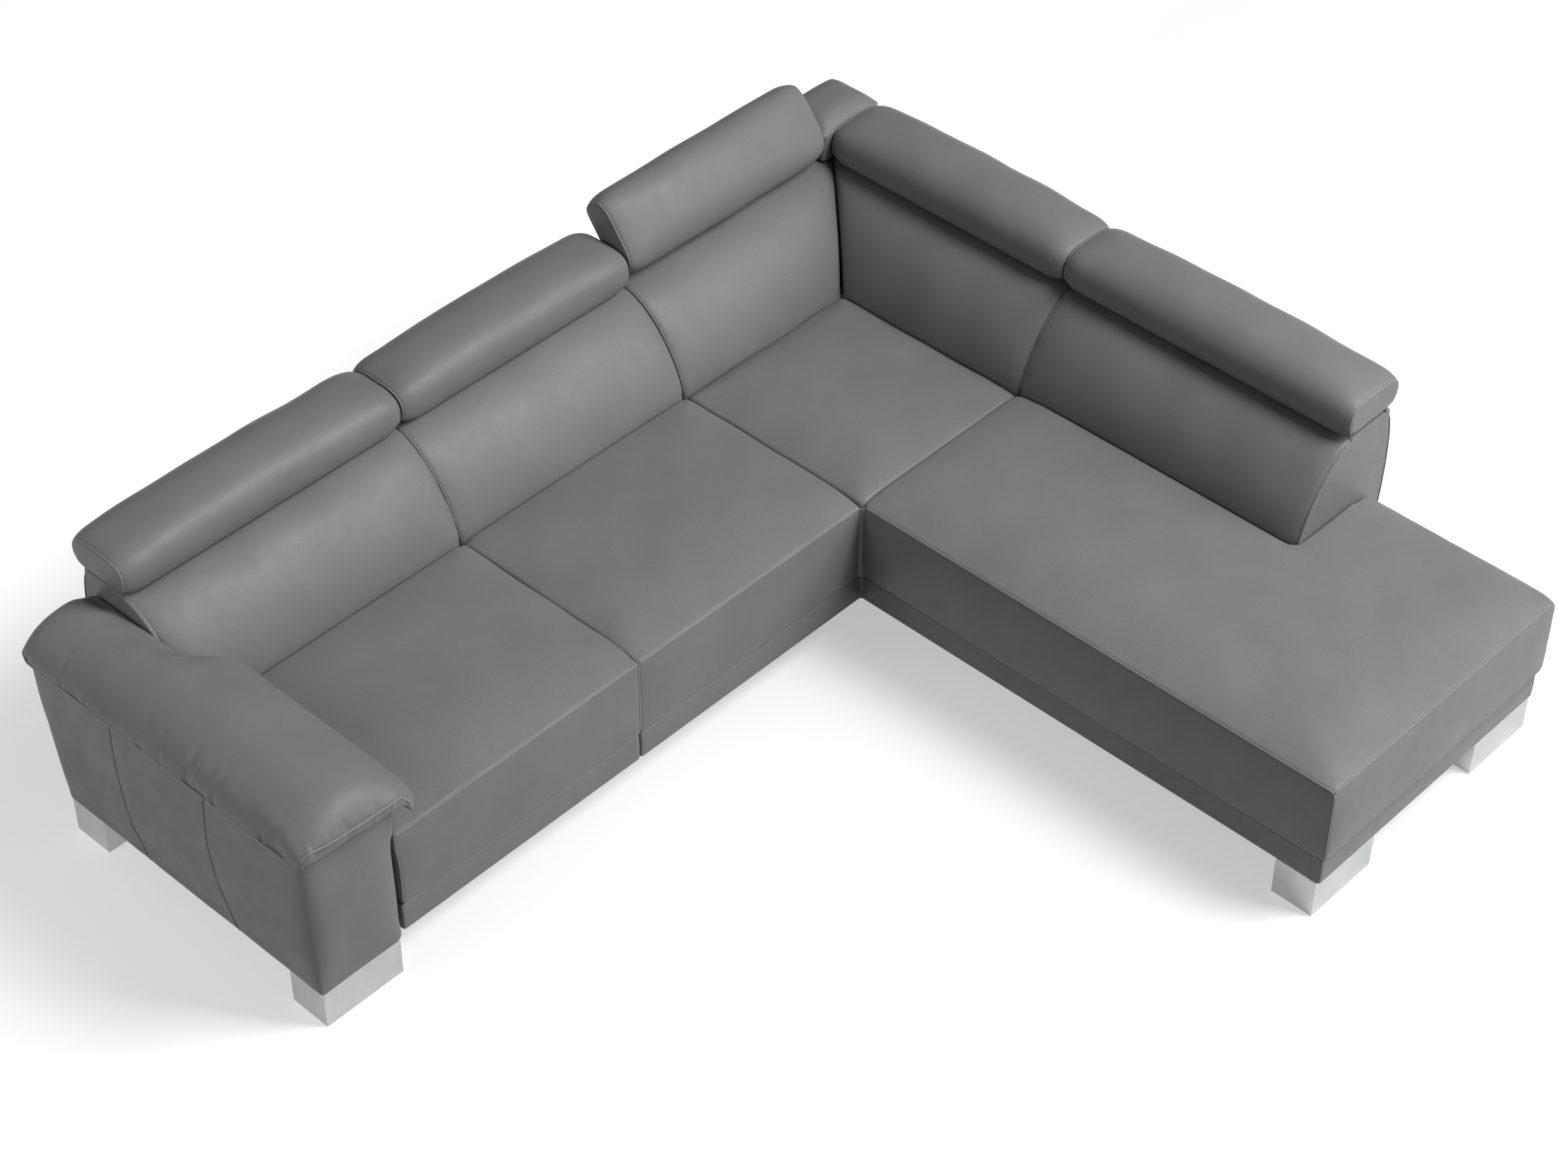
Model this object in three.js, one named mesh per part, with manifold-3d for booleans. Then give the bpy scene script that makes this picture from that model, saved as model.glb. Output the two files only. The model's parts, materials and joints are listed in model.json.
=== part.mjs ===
import * as THREE from "three";
import { mergeVertices } from "three/addons/utils/BufferGeometryUtils.js";
import Module from "manifold-3d";

// A leather corner sofa with a chaise and five ratchet headrests, in millimetres with +Z up.
// The left wing runs along X, its backs towards +Y. The chaise wing runs along Y, its backs towards +X.
// Places are counted from the floor point under the inner corner, where the two seat fronts meet.
// The whole is then set over the middle of its own plan, standing on its feet.

const wasm = await Module();
wasm.setup();

// Clearances
const touchGap = 0.3;
const cushionGap = 3;
const moduleGap = 6;
const headrestGap = 4;
const cutOverrun = 5;

// Plan of the seats and backs
const leftSeatWidth = 764;
const centreSeatWidth = 774;
const cornerSeatWidth = 590;
const cornerSeatDepth = 605;
const chaiseSideInset = 59;
const chaiseLength = 1439;
const chaiseBackLength = 880;
const leftBackDepth = 380;
const chaiseBackDepth = 366;
const leftBackReach = 70;

// Heights
const footHeight = 112;
const basePanelHeight = 82;
const baseLedge = 3;
const seatFrontHeight = 233;
const seatRise = 16;
const backRise = 238;

// Seat cushions
const seatRoll = 30;
const seatRollRun = 75;
const seatBorder = 40;
const seatCrown = 8;
const seatEndRound = 10;
const seatHem = 5;
const seatRearRound = 12;
const chaiseSideBulge = 16;

// Back cushions
const leftBackSlope = 210;
const chaiseBackSlope = 185;
const backPadThickness = 95;
const backTopLand = 49;
const backTopDrop = 20;
const backCrown = 12;
const backEndRound = 24;

// Armrest
const armWidth = 240;
const armGap = 24;
const armLean = 18;
const armFrontReach = 10;
const armDepth = 905;
const armRearLean = 48;
const armHeight = 463;
const armTopFall = 14;
const armRound = 14;
const armFlare = 16;
const armWaist = 6;
const armEndRound = 16;
const armBulge = 9;
const armStepRun = 2;

// Arm pillow
const pillowOverhang = 17;
const pillowLipDepth = 13;
const pillowLipHeight = 40;
const pillowInnerReach = 80;
const pillowDroop = 66;
const pillowDroopWidth = 24;
const pillowHemRun = 6;
const pillowRise = 92;
const pillowFrontReach = 40;
const pillowRearReach = 52;
const pillowEndRound = 26;
const pillowCrown = 12;
const pillowBackClearance = 4;
const pillowTurnStart = 500;
const pillowTurnLength = 190;

// Headrest pads, about their pivot
const pivotBehindEdge = 13;
const pivotHeight = 65;
const padRoll = 42;
const padUnderside = 59;
const padTop = 45;
const padFrontRound = 40;
const padNoseRound = 37;
const padRearRound = 26;
const padHeelRound = 14;
const padHeelRise = 28;
const padHeelRun = 17;
const padRearDrop = 5;
const padRearInset = 1;
const padCrown = 14;
const padEndRound = 15;
const padOverhang = 14;
const cornerHeadrestWidth = 722;
const cornerSideHeadrestWidth = 787;
const cornerSideHeadrestStart = 12;
const chaiseHeadrestEnd = 885;
const raisedAngle = 53.5;

// Corner pad between the wings
const cornerPadWidth = 230;
const cornerPadHeight = 104;
const cornerPadRound = 26;
const cornerPadCrown = 4;

// Base panels and feet
const basePanelRound = 5;
const leftPanelInset = 5;
const chaisePanelInset = 12;
const footLength = 230;
const footWidth = 117;
const footBevel = 2;
const footInset = 7;
const armFootInset = 11;
const armFootFrontInset = 4;
const legRadius = 30;
const legTaper = 8;
const legSetback = 170;

// Wooden rails and back frames
const railThickness = 25;
const railTop = 280;
const boardThickness = 18;
const coverThickness = 18;
const coverTopInset = 20;
const coverShoulderInset = 4;
const coverWaistInset = 6;
const coverFootInset = 70;
const endCoverThickness = 12;
const backBoardInset = 76;
const shelfDepth = 83;
const topBoardFront = 36;

// Springs under the seats
const springWire = 4;
const springClip = 14;
const springSwing = 36;
const springRunShare = 0.22;
const seatSpringCount = 4;
const cornerSpringCount = 8;
const chaiseSpringCount = 3;
const springBendCount = 7;

// Headrest fitting, about its pivot
const cheekSpread = 120;
const cheekThickness = 4;
const cheekHalfWidth = 12;
const cheekAngle = -35;
const ratchetRoot = 14.5;
const ratchetTip = 17;
const ratchetToothCount = 14;
const ratchetSweepAngle = 180;
const fittingPlateWidth = 140;
const fittingPlateDepth = 52;
const fittingPlateStart = 64;
const fittingPlateThickness = 4;
const rodRadius = 5;
const rodClearance = 0.6;
const rodHeadRadius = 8;
const rodHeadLength = 3;
const armPlateThickness = 4;
const armPlateGap = 2;
const armEyeRadius = 14;
const pawlAngle = 82;
const pawlClearance = 0.8;
const pawlHeight = 4.5;
const pawlWidth = 6;
const carrierThickness = 4;
const carrierStart = 20;
const carrierDepth = 112;
const carrierEndMargin = 60;
const carrierSlotEnd = 112;
const carrierSlotClearance = 1.5;
const gussetFoot = 76;
const cavityRadius = 25;
const cavityFrontFoot = 34;
const cavityRearFoot = 114;
const cavityRearRise = 12;

// Module connector
const connectorLength = 150;
const connectorWidth = 40;
const connectorThickness = 3;
const connectorPlace = 400;

// Faces of a quarter round, a full round and a back's slope
const cornerSteps = 3;
const backFaceSteps = 8;
const roundSides = 12;
const legSides = 24;

// Worked out from the sizes above
const baseTop = footHeight + basePanelHeight;
const seatBottom = baseTop + baseLedge;
const seatEdge = seatBottom + seatFrontHeight;
const seatTop = seatEdge + seatRise;
const springTop = railTop + touchGap + springWire;
const seatUnderside = springTop + touchGap;
const backTop = seatTop + backRise;
const leftSeatEnd = -(centreSeatWidth + leftSeatWidth);
const armInner = leftSeatEnd - armGap;
const armOuter = armInner - armWidth;
const leftBackEnd = leftSeatEnd - leftBackReach;
const leftBackRear = cornerSeatDepth + leftBackDepth;
const chaiseBackRear = cornerSeatWidth + chaiseBackDepth;
const chaiseSeatWidth = chaiseBackRear - chaiseSideInset;
const boxTop = railTop - touchGap;
const endInset = endCoverThickness + touchGap;

const leather = { color: 0x737373, roughness: 0.5, metalness: 0 };
const wood = { color: 0xb58f62, roughness: 0.7, metalness: 0 };
const stainedWood = { color: 0x24211f, roughness: 0.7, metalness: 0 };
const springSteel = { color: 0x8c8f92, roughness: 0.4, metalness: 1 };
const blackSteel = { color: 0x2a2b2d, roughness: 0.5, metalness: 0.6 };
const chrome = { color: 0xe6e8ea, roughness: 0.08, metalness: 1 };
const blackPlastic = { color: 0x1e1e1f, roughness: 0.6, metalness: 0 };

const sofa = new THREE.Group();
const leftWing = new THREE.Group();
const chaiseWing = new THREE.Group();
chaiseWing.rotation.z = -Math.PI / 2;
sofa.add(leftWing, chaiseWing);

// Each wing's own places: across runs from the seat's front line to the back, along runs beside it.
// In the chaise wing's turned group, along is counted from the inner corner towards the free end.
const left = {
  group: leftWing,
  line: cornerSeatDepth,
  slope: leftBackSlope,
  rear: leftBackRear,
};
const chaise = {
  group: chaiseWing,
  line: cornerSeatWidth,
  slope: chaiseBackSlope,
  rear: chaiseBackRear,
};

// Solids

function toSolid(geometry) {
  const bare = geometry.clone();
  bare.deleteAttribute("normal");
  bare.deleteAttribute("uv");
  const merged = mergeVertices(bare);
  const vertProperties = merged.attributes.position.array;
  const triVerts = new Uint32Array(merged.index.array);
  return new wasm.Manifold(new wasm.Mesh({ numProp: 3, vertProperties, triVerts }));
}

function toGeometry(solid) {
  const mesh = solid.getMesh();
  const geometry = new THREE.BufferGeometry();
  geometry.setAttribute("position", new THREE.BufferAttribute(mesh.vertProperties, 3));
  geometry.setIndex(new THREE.BufferAttribute(mesh.triVerts, 1));
  const flat = geometry.toNonIndexed();
  flat.computeVertexNormals();
  return flat;
}

function join(first, ...others) {
  let solid = toSolid(first);
  for (const other of others) solid = solid.add(toSolid(other));
  return toGeometry(solid);
}

function cut(first, ...tools) {
  let solid = toSolid(first);
  for (const tool of tools) solid = solid.subtract(toSolid(tool));
  return toGeometry(solid);
}

function addPiece(group, name, geometry, finish) {
  const mesh = new THREE.Mesh(geometry, new THREE.MeshStandardMaterial(finish));
  mesh.name = name;
  group.add(mesh);
  return mesh;
}

// A box from its lowest to its highest corner.
function block(low, high) {
  const size = high.map((value, i) => value - low[i]);
  const geometry = new THREE.BoxGeometry(...size);
  return geometry.translate(...high.map((value, i) => (value + low[i]) / 2));
}

// An outline of [across, height] points, carried along X from start to end.
function bar(outline, start, end) {
  const shape = new THREE.Shape(outline.map(([a, z]) => new THREE.Vector2(a, z)));
  const geometry = new THREE.ExtrudeGeometry(shape, { depth: end - start, bevelEnabled: false });
  geometry.rotateX(Math.PI / 2);
  geometry.rotateZ(Math.PI / 2);
  return geometry.translate(start, 0, 0);
}

// An outline of [x, y] points, raised from bottom to top.
function slab(outline, bottom, top) {
  const shape = new THREE.Shape(outline.map(([x, y]) => new THREE.Vector2(x, y)));
  const geometry = new THREE.ExtrudeGeometry(shape, { depth: top - bottom, bevelEnabled: false });
  return geometry.translate(0, 0, bottom);
}

// A round rod or disc along X.
function rod(radius, start, end) {
  const geometry = new THREE.CylinderGeometry(radius, radius, end - start, roundSides);
  geometry.rotateZ(Math.PI / 2);
  return geometry.translate((start + end) / 2, 0, 0);
}

// Outlines of soft pieces. A corner is { a, z, r, crown, draw }: its place, its round, its share of the
// crown and its share of the drawing-in at the ends. Each round becomes a short curve.
function roundCorners(corners) {
  const points = [];
  corners.forEach((corner, i) => {
    const before = corners[(i + corners.length - 1) % corners.length];
    const after = corners[(i + 1) % corners.length];
    const here = new THREE.Vector2(corner.a, corner.z);
    const crown = corner.crown ?? 0;
    const draw = corner.draw ?? 1;
    if (!corner.r) {
      points.push({ a: corner.a, z: corner.z, crown, draw });
      return;
    }
    const ends = [before, after].map((other) => {
      const way = new THREE.Vector2(other.a, other.z).sub(here);
      const run = Math.min(corner.r, way.length() / 2);
      return here.clone().addScaledVector(way.normalize(), run);
    });
    const curve = new THREE.QuadraticBezierCurve(ends[0], here, ends[1]);
    for (const point of curve.getPoints(cornerSteps)) {
      points.push({ a: point.x, z: point.y, crown, draw });
    }
  });
  return points;
}

// The outward direction at each point of an outline.
function outwards(outline) {
  const turn = THREE.ShapeUtils.isClockWise(outline.map((p) => new THREE.Vector2(p.a, p.z))) ? -1 : 1;
  return outline.map((point, i) => {
    const before = outline[(i + outline.length - 1) % outline.length];
    const after = outline[(i + 1) % outline.length];
    return new THREE.Vector2(after.z - before.z, before.a - after.a).normalize().multiplyScalar(turn);
  });
}

// Where the cross-sections of a soft piece lie: a quarter round at each end and even spans between them.
const endRunShares = [0, 0.12, 0.42];
function stations(start, end, round, spanCount, endRound = round) {
  const shares = endRunShares.map((share) => ({ share, draw: 1 - Math.sqrt(1 - (1 - share) ** 2) }));
  const row = shares.map(({ share, draw }) => ({ at: start + share * round, draw, round }));
  const span = (end - start - round - endRound) / spanCount;
  for (let i = 0; i <= spanCount; i += 1) {
    row.push({ at: start + round + span * i, draw: 0, round });
  }
  for (const { share, draw } of shares.toReversed()) {
    row.push({ at: end - share * endRound, draw, round: endRound });
  }
  const middle = (start + end) / 2;
  for (const station of row) station.crown = 1 - ((station.at - middle) / (end - middle)) ** 2;
  return row;
}

// A soft piece along X: each station draws the outline in, or swells it by its crown, and shape moves
// the point.
function padded(outline, row, crownHeight, shape = (point) => point) {
  const directions = outwards(outline);
  const positions = [];
  for (const station of row) {
    outline.forEach((point, i) => {
      const swell = crownHeight * point.crown * station.crown - station.round * station.draw * point.draw;
      const a = point.a + directions[i].x * swell;
      const z = point.z + directions[i].y * swell;
      positions.push(...shape([station.at, a, z]));
    });
  }
  const count = outline.length;
  const index = [];
  for (let s = 0; s < row.length - 1; s += 1) {
    for (let i = 0; i < count; i += 1) {
      const next = (i + 1) % count;
      const [a, b, c, d] = [s * count + i, s * count + next, (s + 1) * count + next, (s + 1) * count + i];
      index.push(a, b, c, a, c, d);
    }
  }
  closeEnd(positions, index, 0, count, true);
  closeEnd(positions, index, count * (row.length - 1), count, false);
  return facingOut(positions, index);
}

// Closes the ring of points that starts at first. Where points in line would be dropped, it is a fan.
function closeEnd(positions, index, first, count, reversed) {
  const ring = [];
  for (let i = first; i < first + count; i += 1) ring.push(positions.slice(3 * i, 3 * i + 3));
  const plan = ring.map(([, a, z]) => new THREE.Vector2(a, z));
  const faces = THREE.ShapeUtils.triangulateShape(plan, []);
  if (faces.length === count - 2) {
    const turned = THREE.ShapeUtils.isClockWise(plan) !== reversed;
    for (const face of faces) {
      const corners = face.map((i) => first + i);
      index.push(...(turned ? corners.toReversed() : corners));
    }
    return;
  }
  const heart = positions.length / 3;
  positions.push(...[0, 1, 2].map((axis) => ring.reduce((sum, point) => sum + point[axis], 0) / count));
  for (let i = 0; i < count; i += 1) {
    const corners = [heart, first + i, first + ((i + 1) % count)];
    index.push(...(reversed ? corners.toReversed() : corners));
  }
}

// Turns the faces of a closed surface round where they point inwards.
function facingOut(positions, index) {
  const corner = (i) => new THREE.Vector3(...positions.slice(3 * i, 3 * i + 3));
  let volume = 0;
  for (let t = 0; t < index.length; t += 3) {
    const [p, q, r] = [corner(index[t]), corner(index[t + 1]), corner(index[t + 2])];
    volume += p.dot(q.cross(r));
  }
  if (volume < 0) {
    for (let t = 0; t < index.length; t += 3) [index[t + 1], index[t + 2]] = [index[t + 2], index[t + 1]];
  }
  const geometry = new THREE.BufferGeometry();
  geometry.setAttribute("position", new THREE.Float32BufferAttribute(positions, 3));
  geometry.setIndex(index);
  return geometry;
}

// Seats

// The front of a seat rises from its hem, rolls over at the stitched edge and runs back over the crown.
function seatFront() {
  return [
    { a: 0, z: seatBottom, r: seatHem, draw: 0.5 },
    { a: 0, z: (seatBottom + seatEdge) / 2, crown: 0.6, draw: 0.7 },
    { a: 0, z: seatEdge, r: seatRoll },
    { a: seatRollRun, z: seatTop, r: seatRollRun / 2, crown: 0.3 },
  ];
}

const seatRunShares = [0.3, 0.5, 0.7];
function seatOutline(depth) {
  return roundCorners([
    ...seatFront(),
    ...seatRunShares.map((share) => ({ a: depth * share, z: seatTop, crown: 1 })),
    { a: depth, z: seatTop, r: seatRearRound },
    { a: depth, z: seatBottom, draw: 0 },
  ]);
}

// The room under a cushion's padding, inside its border.
function seatPocket(low, high) {
  return block([...low, seatBottom - cutOverrun], [...high, seatUnderside]);
}

function seats() {
  const rear = cornerSeatDepth - touchGap;
  const places = {
    seat_cushion_left: [leftSeatEnd, -centreSeatWidth - cushionGap / 2],
    seat_cushion_centre: [-centreSeatWidth + cushionGap / 2, -moduleGap / 2],
  };
  for (const [name, [start, end]] of Object.entries(places)) {
    const row = stations(start, end, seatEndRound, 5);
    const pocket = seatPocket([start - cutOverrun, seatBorder], [end + cutOverrun, rear + cutOverrun]);
    addPiece(leftWing, name, cut(padded(seatOutline(rear), row, seatCrown), pocket), leather);
  }

  const cornerStart = cushionGap / 2;
  const corner = roundCorners([
    { a: cornerStart, z: seatTop, r: seatRearRound },
    ...seatRunShares.map((share) => ({ a: rear * share, z: seatTop, crown: 1 })),
    { a: rear, z: seatTop, r: seatRearRound },
    { a: rear, z: seatUnderside },
    { a: cornerStart, z: seatUnderside },
  ]);
  const row = stations(moduleGap / 2, cornerSeatWidth - touchGap, seatEndRound, 5);
  addPiece(leftWing, "seat_cushion_corner", padded(corner, row, seatCrown), leather);
}

// The chaise cushion hangs down as a border on three sides. Beside the back it has only the seat's width.
function chaiseCushion() {
  const width = chaiseSeatWidth;
  const near = seatFront();
  const far = near.map((corner) => ({ ...corner, a: width - corner.a, crown: 0 })).toReversed();
  near[1].crown = 1;
  const outline = roundCorners([
    ...near,
    ...seatRunShares.map((share) => ({ a: width * share, z: seatTop, crown: 0.5 })),
    ...far,
  ]);
  const front = -chaiseLength;
  const rear = -cushionGap / 2;
  const shape = ([along, across, z]) => [across, along, z];
  const row = stations(front, rear, seatRoll, 9, seatEndRound);
  const cushion = padded(outline, row, chaiseSideBulge, shape);
  const pocket = seatPocket([seatBorder, front + seatBorder], [width - seatBorder, rear + cutOverrun]);
  const underBack = block(
    [cornerSeatWidth - touchGap, -chaiseBackLength - touchGap, footHeight],
    [width + cutOverrun, rear + cutOverrun, backTop],
  );
  addPiece(sofa, "seat_cushion_chaise", cut(cushion, pocket, underBack), leather);
}

// Backs

// The face of a back leans from the seat line to its top edge along one soft curve.
const backLowShares = [0.07, 0.35];
const backHighShares = [0.52, 0.934];
function backFace(wing) {
  const at = ([runShare, riseShare]) =>
    new THREE.Vector2(wing.line + wing.slope * runShare, seatTop + backRise * riseShare);
  return new THREE.CubicBezierCurve(at([0, 0]), at(backLowShares), at(backHighShares), at([1, 1]));
}

function backOutline(wing, faceSteps) {
  const face = backFace(wing).getPoints(faceSteps);
  const topRear = wing.line + wing.slope + backTopLand - touchGap;
  const middle = (seatTop + backTop) / 2 - backTopDrop;
  const rising = face.map((point, i) => ({
    a: point.x,
    z: point.y,
    crown: Math.sin((Math.PI * i) / faceSteps),
    draw: 1 - i / faceSteps / 2,
  }));
  return [
    { a: wing.line, z: seatUnderside, crown: 0, draw: 0 },
    ...rising,
    { a: topRear, z: backTop, crown: 0, draw: 0 },
    { a: topRear, z: backTop - backTopDrop, crown: 0, draw: 0 },
    { a: wing.line + backPadThickness + backPadThickness / 2, z: middle, crown: 0, draw: 0 },
    { a: wing.line + backPadThickness, z: seatUnderside, crown: 0, draw: 0 },
  ];
}

// A back from start to end along its wing, swollen by more than its cover where it is a cutting tool.
function back(wing, start, end, extra = 0) {
  const outline = backOutline(wing, backFaceSteps);
  const row = stations(start, end, backEndRound, 5);
  if (extra) {
    for (const station of row) Object.assign(station, { draw: 0, crown: 1 });
    for (const point of outline) Object.assign(point, { crown: 1 });
  }
  return padded(outline, row, extra || backCrown);
}

// Everything beyond the vertical seam where the two wings meet, as seen from one wing.
function beyondMitre(wing, other, gap) {
  const reach = wing.rear + other.rear;
  const near = [other.line, wing.line];
  const far = [other.line + other.slope, wing.line + wing.slope];
  const way = new THREE.Vector2(far[0] - near[0], far[1] - near[1]).normalize();
  const side = gap / 2;
  const at = (run) => [near[0] + way.x * run - way.y * side, near[1] + way.y * run + way.x * side];
  const aside = near[0] + reach;
  return [at(-reach), at(reach), [aside, near[1] + way.y * reach], [aside, near[1] - way.y * reach]];
}

function backs() {
  const splits = [leftBackEnd, -centreSeatWidth, 0];
  const first = back(left, splits[0], splits[1] - cushionGap / 2);
  addPiece(leftWing, "back_cushion_left", first, leather);
  const second = back(left, splits[1] + cushionGap / 2, -moduleGap / 2);
  addPiece(leftWing, "back_cushion_centre", second, leather);

  const tall = [footHeight, backTop + pivotHeight];
  const cornerReach = chaise.line + chaise.slope + backTopLand;
  const mitreRight = slab(beyondMitre(left, chaise, cushionGap), ...tall);
  const corner = back(left, moduleGap / 2, cornerReach);
  addPiece(leftWing, "back_cushion_corner", cut(corner, mitreRight), leather);

  // In the turned group the along direction is reversed, so the seam's outline is turned with it.
  const turned = beyondMitre(chaise, left, cushionGap).map(([x, y]) => [-x, y]).toReversed();
  const sideReach = left.line + left.slope + backTopLand;
  const side = back(chaise, -sideReach, -cushionGap / 2);
  addPiece(chaiseWing, "back_cushion_side", cut(side, slab(turned, ...tall)), leather);
  const free = back(chaise, cushionGap / 2, chaiseBackLength);
  addPiece(chaiseWing, "back_cushion_chaise", free, leather);
}

// Rear covers: thin padded boards that lean in towards the floor.
const coverRiseShares = [0.67, 0.25, -0.25];
function coverOutline(wing) {
  const [shoulder, full, waist] = coverRiseShares.map((share) => seatTop + backRise * share);
  const outer = [
    [wing.rear - coverTopInset, backTop],
    [wing.rear - coverShoulderInset, shoulder],
    [wing.rear, full],
    [wing.rear - coverWaistInset, waist],
    [wing.rear - coverFootInset, footHeight],
  ];
  const inner = outer.toReversed().map(([a, z]) => [a - coverThickness, z]);
  return [...outer, ...inner];
}

// A rear cover turns round its wing's free end and closes it up to the back cushion.
function endBoard(wing, start) {
  const cushion = backOutline(wing, 1).slice(-3);
  const under = seatUnderside - touchGap;
  const outline = [
    ...coverOutline(wing).slice(0, 5),
    [wing.line + touchGap, footHeight],
    [wing.line + touchGap, under],
    [cushion[2].a + 2 * touchGap, under],
    [cushion[1].a + 2 * touchGap, cushion[1].z],
    [cushion[0].a + 2 * touchGap, cushion[0].z],
    [cushion[0].a + 2 * touchGap, backTop],
  ];
  return bar(outline, start, start + endCoverThickness);
}

function rearCovers() {
  const tall = [0, backTop + cutOverrun];
  const corner = [chaise.rear, left.rear];
  const reach = corner[0] + corner[1];
  // Beyond the upright plane at 45 degrees through the rear corner, with half the gap on each side.
  const beyond = (sign) => [
    [corner[0] - reach, corner[1] - reach - (sign * touchGap) / 2],
    [corner[0] + reach, corner[1] + reach - (sign * touchGap) / 2],
    [corner[0] + (sign > 0 ? -reach : reach), corner[1] + (sign > 0 ? reach : -reach)],
  ];
  const leftCover = bar(coverOutline(left), leftBackEnd, -moduleGap / 2);
  addPiece(leftWing, "rear_cover_left", join(leftCover, endBoard(left, leftBackEnd)), leather);
  const cornerCover = bar(coverOutline(left), moduleGap / 2, corner[0]);
  const pastCorner = slab(beyond(-1).toReversed(), ...tall);
  addPiece(leftWing, "rear_cover_corner", cut(cornerCover, pastCorner), leather);
  const turned = beyond(1).map(([x, y]) => [-y, x]);
  const chaiseCover = bar(coverOutline(chaise), -corner[1], chaiseBackLength);
  const pastSide = slab(turned.toReversed(), ...tall);
  const closed = join(chaiseCover, endBoard(chaise, chaiseBackLength - endCoverThickness));
  addPiece(chaiseWing, "rear_cover_chaise", cut(closed, pastSide), leather);
}

// Back frames: a top board for the headrest fittings, an upright board, a shelf for the springs and a
// low rail.
function frameOutline(wing) {
  const pivot = pivotOf(wing);
  const coverInner = wing.rear - coverTopInset - coverThickness;
  const upright = wing.rear - backBoardInset;
  const shelfFront = upright + boardThickness - shelfDepth;
  return [
    [shelfFront, footHeight],
    [shelfFront + boardThickness, footHeight],
    [shelfFront + boardThickness, railTop - boardThickness],
    [upright + boardThickness, railTop - boardThickness],
    [upright + boardThickness, backTop - boardThickness],
    [coverInner - touchGap, backTop - boardThickness],
    [coverInner - touchGap, backTop],
    [pivot.across + topBoardFront, backTop],
    [pivot.across + topBoardFront, backTop - boardThickness],
    [upright, backTop - boardThickness],
    [upright, railTop],
    [shelfFront, railTop],
  ];
}

function shelfFrontOf(wing) {
  return wing.rear - backBoardInset + boardThickness - shelfDepth;
}

function backFrames() {
  const leftFrame = bar(frameOutline(left), leftBackEnd + endInset, -moduleGap / 2);
  addPiece(leftWing, "back_frame_left", leftFrame, wood);
  const cornerEnd = chaise.rear - coverFootInset - coverThickness - touchGap;
  const cornerFrame = bar(frameOutline(left), moduleGap / 2, cornerEnd);
  addPiece(leftWing, "back_frame_corner", cornerFrame, wood);
  const chaiseStart = -(shelfFrontOf(left) - touchGap);
  const chaiseFrame = bar(frameOutline(chaise), chaiseStart, chaiseBackLength - endInset);
  addPiece(chaiseWing, "back_frame_chaise", chaiseFrame, wood);
}

// Base

function rails() {
  const near = seatBorder + touchGap;
  const far = near + railThickness;
  const shelf = shelfFrontOf(left) - touchGap;
  const moduleEnd = -moduleGap / 2;
  const front = block([armInner + touchGap, near, footHeight], [moduleEnd, far, railTop]);
  addPiece(leftWing, "front_rail_left", front, stainedWood);
  const endLow = [moduleEnd - railThickness, far + touchGap, footHeight];
  addPiece(leftWing, "end_rail_left", block(endLow, [moduleEnd, shelf, boxTop]), stainedWood);

  const crossStart = near - chaiseLength;
  const crossEnd = far - chaiseLength;
  const right = chaiseSeatWidth - near;
  const cross = block([near, crossStart, footHeight], [right, crossEnd, boxTop]);
  addPiece(sofa, "front_rail_chaise", cross, stainedWood);
  const sideStart = crossEnd + touchGap;
  const leftRail = block([near, sideStart, footHeight], [far, shelf, railTop]);
  addPiece(sofa, "left_rail_chaise", leftRail, stainedWood);
  const rightLow = [right - railThickness, sideStart, footHeight];
  const rightRail = block(rightLow, [right, -chaiseBackLength - touchGap, railTop]);
  addPiece(sofa, "right_rail_chaise", rightRail, stainedWood);
}

function panelOutline(front) {
  const corners = [
    { a: front, z: footHeight, r: basePanelRound },
    { a: front, z: baseTop, r: basePanelRound },
    { a: seatBorder, z: baseTop },
    { a: seatBorder, z: footHeight },
  ];
  return roundCorners(corners).map(({ a, z }) => [a, z]);
}

function basePanels() {
  const halfGap = cushionGap / 2;
  const outline = panelOutline(leftPanelInset);
  const leftPanel = bar(outline, leftSeatEnd, -centreSeatWidth - halfGap);
  addPiece(leftWing, "base_panel_left", leftPanel, leather);
  const centrePanel = bar(outline, -centreSeatWidth + halfGap, -moduleGap / 2);
  addPiece(leftWing, "base_panel_centre", centrePanel, leather);

  const inset = panelOutline(chaisePanelInset);
  const frontPanel = bar(inset, chaisePanelInset, chaiseSeatWidth - chaisePanelInset);
  frontPanel.translate(0, -chaiseLength, 0);
  addPiece(sofa, "base_panel_front", frontPanel, leather);

  const sideStart = seatBorder + touchGap;
  const sidePanel = bar(inset, cushionGap / 2, chaiseLength - sideStart);
  addPiece(chaiseWing, "base_panel_side", sidePanel, leather);
  const rightPanel = bar(inset, sideStart - chaiseLength, -chaiseBackLength - cushionGap);
  rightPanel.rotateZ(Math.PI / 2);
  rightPanel.translate(chaiseSeatWidth, 0, 0);
  addPiece(sofa, "base_panel_right", rightPanel, leather);
}

function foot(name, lowX, lowY) {
  const high = footHeight - touchGap;
  const shape = new THREE.Shape();
  const [w, d] = [footLength - 2 * footBevel, footWidth - 2 * footBevel];
  shape.moveTo(0, 0);
  shape.lineTo(w, 0);
  shape.lineTo(w, d);
  shape.lineTo(0, d);
  const geometry = new THREE.ExtrudeGeometry(shape, {
    depth: high - 2 * footBevel,
    bevelThickness: footBevel,
    bevelSize: footBevel,
    bevelSegments: 1,
  });
  geometry.translate(lowX + footBevel, lowY + footBevel, footBevel);
  addPiece(sofa, name, geometry, chrome);
}

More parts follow.
